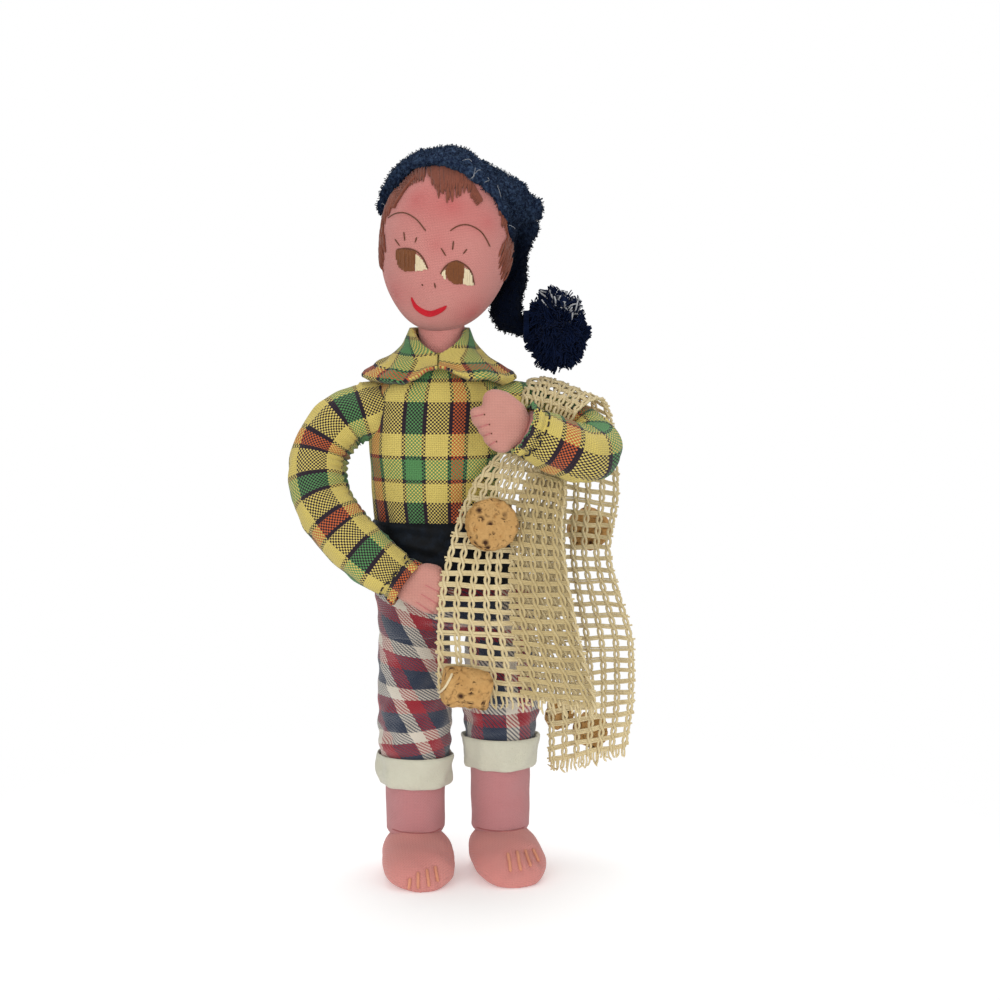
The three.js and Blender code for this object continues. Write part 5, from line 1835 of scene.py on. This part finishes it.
class DOLL_OT_cap(bpy.types.Operator):
    """Makes the boiled wool cap, its hanging tail, and the bound pompom"""

    bl_idname = "doll.cap"
    bl_label = "Cap and pompom"

    POMPOM_CLUMPS = 340
    CLUMP_ENDS = 13
    # Depth under the pompom's surface of its core and of the yarn's roots
    CORE_DEPTH = 3.6
    ROOT_DEPTH = 5.2
    TIE_TURNS = 5
    # Pale thread over some yarn tips on the pompom's upper side: that side, how far out a tip must reach,
    # and one tip in so many
    PALE_TIP_SIDE = (0.3, -0.3, 0.9)
    PALE_TIP_REACH = 8.6
    PALE_TIP_SHARE = 5
    # Pale hairs that lie on the cap
    LINT_HAIRS = 24
    LINT_RADIUS = 0.06
    # Radius of a fibre as a share of its length, and how far it leans in radians
    NAP_RADIUS = 0.19
    NAP_LEAN = 0.85

    def execute(self, context):
        wool = finish_of("boiled_wool", boiled_wool, tuple(colours().wool), HEAD[2] - 2)
        dark = finish_of("pompom_wool", spun_thread, linear(24, 38, 74), linear(2, 3, 6), 1.0, 0.02)
        cap = self.make_wool("cap_wool", "cap", wool, "head", voxel=0.8)
        tail = self.make_wool("cap_tail_wool", "cap_tail", wool, "cap_tail", voxel=0.7)
        pale = thread_finish("lint")
        hairs = self.stray_hairs(cap)
        sew("cap_lint", hairs, self.LINT_RADIUS, pale, "head", sides=4, taper=True)
        self.make_pompom(dark, pale)
        return {"FINISHED"}

    def stray_hairs(self, cap):
        """Single hairs of lint that lie on the cap's nap, above and in front."""
        chance = np.random.default_rng(134)
        surface = Surface(cap)
        normals = mesh_normals(cap.data)
        shown = np.flatnonzero(normals @ unit((0, -1, 1)) > 0.5)
        lines = []
        for i in chance.choice(shown, self.LINT_HAIRS, replace=False):
            start = mesh_points(cap.data)[i]
            heading = unit(np.cross(normals[i], chance.normal(size=3))) * chance.uniform(0.8, 2.6)
            stops = [start - heading, start + chance.normal(size=3) * 0.6, start + heading]
            curve, _ = smooth_curve(stops, 6)
            lines.append(np.array([surface.near(point, sizes().nap_length * 0.8) for point in curve]))
        return lines

    def make_wool(self, name, node, wool, body, voxel):
        piece = remeshed_copy(name, node, voxel=voxel, smoothing=6)
        mesh = piece.data
        points = mesh_points(mesh)
        grain = soft_noise(points, size=1.3, seed=131) * 0.28
        push_out(mesh, grain + soft_noise(points, size=5, seed=132) * 0.35)
        put_on(piece, wool, body, [node])
        inputs = {
            "Density": sizes().nap_density / MM**2,
            "Length": sizes().nap_length * MM,
            "Radius": self.NAP_RADIUS,
            "Lean": self.NAP_LEAN,
            "Seed": 133,
            "Material": wool,
        }
        nap = grow(f"{name}_nap", mesh.copy(), TREES["nap"], inputs)
        put_on(nap, wool, body)
        return piece

    def make_pompom(self, dark, pale):
        tie = remeshed_copy("pompom_binding", "pompom_tie", voxel=0.4, smoothing=3)
        put_on(tie, dark, "cap_tail", ["pompom_tie"])
        core = bmesh.new()
        bmesh.ops.create_icosphere(core, subdivisions=3, radius=1.0)
        mesh = bpy.data.meshes.new("pompom_core")
        core.to_mesh(mesh)
        core.free()
        ball = read_vectors(mesh.vertices, "co")
        lumpy = 1 + soft_noise(ball * 10, size=6, seed=141)[:, None] * 0.07
        move_points(mesh, POMPOM + ball * (POMPOM_HALF - self.CORE_DEPTH) * lumpy)
        shade_smooth(mesh)
        tuft = link("pompom_tuft", mesh)
        put_on(tuft, dark, "cap_tail", ["pompom"])
        ends = self.yarn_ends()
        lines = ends + self.binding(tie)
        sew("pompom_yarn", lines, 0.24, dark, "cap_tail", sides=4)
        # Pale thread over every few of the tips that reach furthest towards the upper side
        high = [line[-5:] for line in ends if (line[-1] - POMPOM) @ self.PALE_TIP_SIDE > self.PALE_TIP_REACH]
        sew("pompom_pale_tips", high[:: self.PALE_TIP_SHARE], 0.28, pale, "cap_tail", sides=4)

    def yarn_ends(self):
        """Cut ends of yarn that stand out of the pompom in clumps of unlike length."""
        chance = np.random.default_rng(142)
        lines = []
        for clump in unit(chance.normal(size=(self.POMPOM_CLUMPS, 3))):
            reach = chance.uniform(0.7, 1.06)
            bend = chance.normal(size=3) * 0.14
            for heading in unit(clump + chance.normal(size=(self.CLUMP_ENDS, 3)) * 0.13):
                start = heading * (POMPOM_HALF - self.ROOT_DEPTH)
                end = unit(heading * 0.5 + clump * 0.5 + bend) * POMPOM_HALF * reach
                end = end * chance.uniform(0.9, 1.0)
                middle = (start + end) / 2 + heading * 0.6 + chance.normal(size=3) * 0.5
                curve, _ = smooth_curve([start, middle, end], 2)
                lines.append(POMPOM + curve)
        return lines

    def binding(self, tie):
        """Turns of thread wound round the pompom's tie."""
        points = mesh_points(tie.data)
        middle = (points.min(axis=0) + points.max(axis=0)) / 2
        half = (points.max(axis=0) - points.min(axis=0)) / 2
        turns = np.linspace(0, math.tau * self.TIE_TURNS, 24 * self.TIE_TURNS)
        x = np.linspace(-0.8, 0.8, len(turns)) * half[0]
        return [middle + grid_points(x, np.cos(turns) * half[1], np.sin(turns) * half[2])]


class NetStrip(Path):
    """The net's strip as a surface: across from -1 to 1, along in millimetres from the front hem."""

    DROOP = 6.0
    SMOOTHING = 14
    # Where the strip is gathered and where it lies on the arm: place and width, as shares of its length
    GATHER = (0.36, 0.07)
    SADDLE = (0.47, 0.06)

    def __init__(self):
        super().__init__(np.array(NET_PATH) + LEFT_SHOULDER)
        steps = np.arange(len(NET_HALF_SPANS))
        spans = np.array(NET_HALF_SPANS, float)
        self.span = np.stack([np.interp(self.place, steps, column) for column in spans.T], axis=-1)
        for _ in range(self.SMOOTHING):
            self.span[1:-1] = (self.span[:-2] + self.span[1:-1] * 2 + self.span[2:]) / 4

    def normal(self, along):
        return unit(np.cross(self.along(self.tangent, along), self.along(self.span, along)))

    def half_width(self, along):
        return np.linalg.norm(self.along(self.span, along), axis=-1)

    def point(self, across, along, lift=0.0):
        """A point of the strip, `lift` to its outer side, with the folds of the hanging net."""
        across = np.asarray(across, float)
        along = np.asarray(along, float)
        share = along / self.length
        gathered = bell(share - self.GATHER[0], self.GATHER[1])
        ripple = 0.6 * np.sin(across * 7 + share * 9) * np.abs(np.cos(share * math.pi))
        ripple = ripple + gathered * 0.5 * np.sin(across * 16)
        middle = self.along(self.line, along)
        side = self.along(self.span, along) * across[..., None]
        saddle = bell(share - self.SADDLE[0], self.SADDLE[1])
        droop = self.DROOP * saddle * np.clip(-across - 0.2, 0, 1) ** 2
        down = np.array([0.0, 0.0, -1.0]) * droop[..., None]
        return middle + side + down + self.normal(along) * (ripple + lift)[..., None]


class DOLL_OT_net(bpy.types.Operator):
    """Makes the net: twisted pairs of threads down, three threads across, with frayed edges"""

    bl_idname = "doll.net"
    bl_label = "Net"

    FLAT_WIDTH = 62.0
    CROOK = 0.37
    # How far the front's threads run past the crook, and how far the end rows are from the hems
    OVERLAP = 6
    HEM = 1.5
    REAR_COLUMNS = 7
    EDGE = 0.97
    STEP = 0.95
    # Sideways and outward reach of a thread that twists round its fellow
    TWIST = (0.74, 0.4)
    CROSS_WEIGHT = 0.68
    FOLD_END = 0.3
    FOLD_INNER = 0.02
    FOLD_DEPTH = -2.2

    def execute(self, context):
        strip = NetStrip()
        cotton = finish_of("net_cotton", spun_thread, tuple(colours().net), linear(182, 160, 112), 0.7)
        crook = strip.length * self.CROOK
        down = self.down_threads(strip, sizes().net_columns, 0, crook + self.OVERLAP)
        down += self.down_threads(strip, self.REAR_COLUMNS, crook, strip.length)
        nodes = ["net_front", "net_saddle", "net_back"]
        net = self.knot("net_threads", down, self.cross_threads(strip), cotton, nodes)
        shade = finish_of("net_shade", spun_thread, linear(214, 196, 148), linear(160, 138, 90), 0.7)
        fold = self.knot("net_fold", self.fold_down(strip), self.fold_across(strip), shade)
        ends = self.fringe(strip)
        fringe = sew("net_fringe", ends, 0.36, cotton, "left_arm", sides=5, taper=True)
        return {"FINISHED"}

    def knot(self, name, down, cross, cotton, nodes=()):
        """Threads down and finer threads across, as one piece."""
        weights = [1.0] * len(down) + [self.CROSS_WEIGHT] * len(cross)
        radius = sizes().net_thread
        lines = down + cross
        return sew(name, lines, radius, cotton, "left_arm", nodes, sides=5, weights=weights)

    def rows(self, strip):
        count = int(strip.length / sizes().net_row_pitch)
        return np.linspace(self.HEM, strip.length - self.HEM, count)

    def twisted_pair(self, strip, across, along, twist, depth=0.0):
        """Two threads that wind round each other down the strip."""
        sideways, outward = self.TWIST
        lines = []
        for phase in (0, math.pi):
            spread = sideways * np.sin(twist + phase) / strip.half_width(along)
            lift = depth + outward * np.cos(twist + phase)
            lines.append(strip.point(across + spread, along, lift))
        return lines

    def down_threads(self, strip, columns, first, last):
        """Two threads to a column, half a twist round each other between rows."""
        chance = np.random.default_rng(150)
        along = np.arange(first, last, self.STEP)
        rows = self.rows(strip)
        twist = np.interp(along, rows, np.arange(len(rows))) * math.pi
        lines = []
        for across in np.linspace(-self.EDGE, self.EDGE, columns):
            drift = chance.uniform(-0.015, 0.015) + 0.012 * np.sin(along / 17 + chance.uniform(0, 6))
            lines += self.twisted_pair(strip, across + drift, along, twist)
        return lines

    def fold_down(self, strip):
        """Threads of the edge that is folded in behind the front panel."""
        along = np.arange(1.0, strip.length * self.FOLD_END, self.STEP)
        twist = along / sizes().net_row_pitch * math.pi
        pitch = 2 * self.EDGE / (sizes().net_columns - 1)
        lines = []
        for across in np.arange(self.EDGE - pitch / 2, self.FOLD_INNER, -pitch):
            lines += self.twisted_pair(strip, across, along, twist, self.FOLD_DEPTH)
        return lines

    def fold_across(self, strip):
        """Cross threads that turn round the panel's edge into the fold."""
        rows = self.rows(strip)
        rows = rows[rows < strip.length * self.FOLD_END]
        lines = []
        for row in rows + sizes().net_row_pitch / 2:
            across = np.linspace(1.0, self.FOLD_INNER, 20)
            lift = np.interp(across, [0.85, 1.0], [self.FOLD_DEPTH, 0.0])
            for offset in (-0.5, 0.0, 0.5):
                along = row + offset + 0.25 * np.sin(across * 5 + row)
                lines.append(strip.point(across, along, lift))
        return lines

    def cross_threads(self, strip):
        """Three threads to a row, with ends that stand out at the edges."""
        chance = np.random.default_rng(151)
        lines = []
        for row in self.rows(strip):
            half_width = strip.half_width(row)
            for offset in (-0.52, 0.0, 0.52):
                ends = 1 + chance.uniform(0.3, 1.5, 2) / half_width
                across = np.linspace(-ends[0], ends[1], 34)
                sag = 0.25 * np.sin(across * 5 + row)
                along = np.clip(row + offset + sag + chance.uniform(-0.12, 0.12), 0, strip.length)
                lift = 0.22 * np.sin(across * math.pi * sizes().net_columns / 2)
                lines.append(strip.point(across, along, lift))
        return lines

    def fringe(self, strip):
        """Cut thread ends that hang from both hems."""
        chance = np.random.default_rng(152)
        lines = []
        for hem, heading in ((0.0, -1), (strip.length, 1)):
            outward = strip.along(strip.tangent, hem) * heading
            for across in np.linspace(-0.99, 0.99, sizes().net_columns * 3):
                root = strip.point(across + chance.uniform(-0.02, 0.02), hem)
                length = chance.uniform(1.5, 4.5)
                sway = chance.normal(size=3) * 0.35
                end = root + unit(outward + sway) * length
                middle = root + outward * length * 0.5 + chance.normal(size=3) * 0.2
                curve, _ = smooth_curve([root - outward * 1.2, root, middle, end], 3)
                lines.append(curve)
        return lines


class DOLL_OT_corks(bpy.types.Operator):
    """Makes the cork floats with their pits, and the thread that ties the front corner's"""

    bl_idname = "doll.corks"
    bl_label = "Cork floats"

    PITS = 26
    # The tie's thread, as pixels of the photograph's frame
    TIE = [(452, 674), (449, 682), (444, 690), (438, 694)]

    def execute(self, context):
        cork = finish_of("raw_cork", raw_cork, tuple(colours().cork))
        for k, node in enumerate(FLOATS):
            piece = remeshed_copy(f"{node}_cork", node, voxel=0.5, smoothing=5)
            push_out(piece.data, self.relief(mesh_points(piece.data), k))
            put_on(piece, cork, "left_arm", [node])
        surface = Surface(piece_of("float_front_corner_cork"), piece_of("net_threads"))
        line = surface.trace(self.TIE, 0.4)
        tie = thread_finish("tie_thread")
        sew("float_front_corner_tie", [line], 0.42, tie, "left_arm", taper=True)
        return {"FINISHED"}

    def relief(self, points, k):
        """Lumps and pits of one float, as heights at its points."""
        chance = np.random.default_rng(160 + k)
        shape = soft_noise(points, size=4, seed=161 + k) * 0.3
        shape = shape + soft_noise(points, size=1.2, seed=171 + k) * 0.12
        for _ in range(self.PITS):
            pit = points[chance.integers(len(points))]
            gap = np.linalg.norm((points - pit) * chance.uniform(0.6, 1.6, 3), axis=1)
            shape = shape - chance.uniform(0.4, 1.1) * bell(gap, chance.uniform(0.5, 1.0))
        return shape


PIECE_OPERATORS = [
    DOLL_OT_stage, DOLL_OT_body, DOLL_OT_legs, DOLL_OT_trousers, DOLL_OT_shirt, DOLL_OT_sash,
    DOLL_OT_hands, DOLL_OT_head, DOLL_OT_hair, DOLL_OT_cap, DOLL_OT_net, DOLL_OT_corks,
]


class DOLL_PT_panel(bpy.types.Panel):
    """Lists the doll's pieces, sizes and colours"""

    bl_idname = "DOLL_PT_panel"
    bl_label = "Cloth Doll"
    bl_space_type = "VIEW_3D"
    bl_region_type = "UI"
    bl_category = "Doll"

    def draw(self, context):
        column = self.layout.column()
        for operator in PIECE_OPERATORS:
            column.operator(operator.bl_idname)
        for group in (context.scene.doll_sizes, context.scene.doll_colours):
            for name in group.__annotations__:
                column.prop(group, name)


CLASSES = [DollSizes, DollColours, *PIECE_OPERATORS, DOLL_PT_panel]


def register():
    for kind in CLASSES:
        bpy.utils.register_class(kind)
    bpy.types.Scene.doll_sizes = bpy.props.PointerProperty(type=DollSizes)
    bpy.types.Scene.doll_colours = bpy.props.PointerProperty(type=DollColours)


def unregister():
    del bpy.types.Scene.doll_colours
    del bpy.types.Scene.doll_sizes
    for kind in reversed(CLASSES):
        bpy.utils.unregister_class(kind)


def main():
    register()
    TREES.update(threads=thread_tree(), nap=nap_tree(), stitches=stitch_tree())
    for operator in PIECE_OPERATORS:
        group, name = operator.bl_idname.split(".")
        getattr(getattr(bpy.ops, group), name)()


if __name__ == "__main__":
    main()
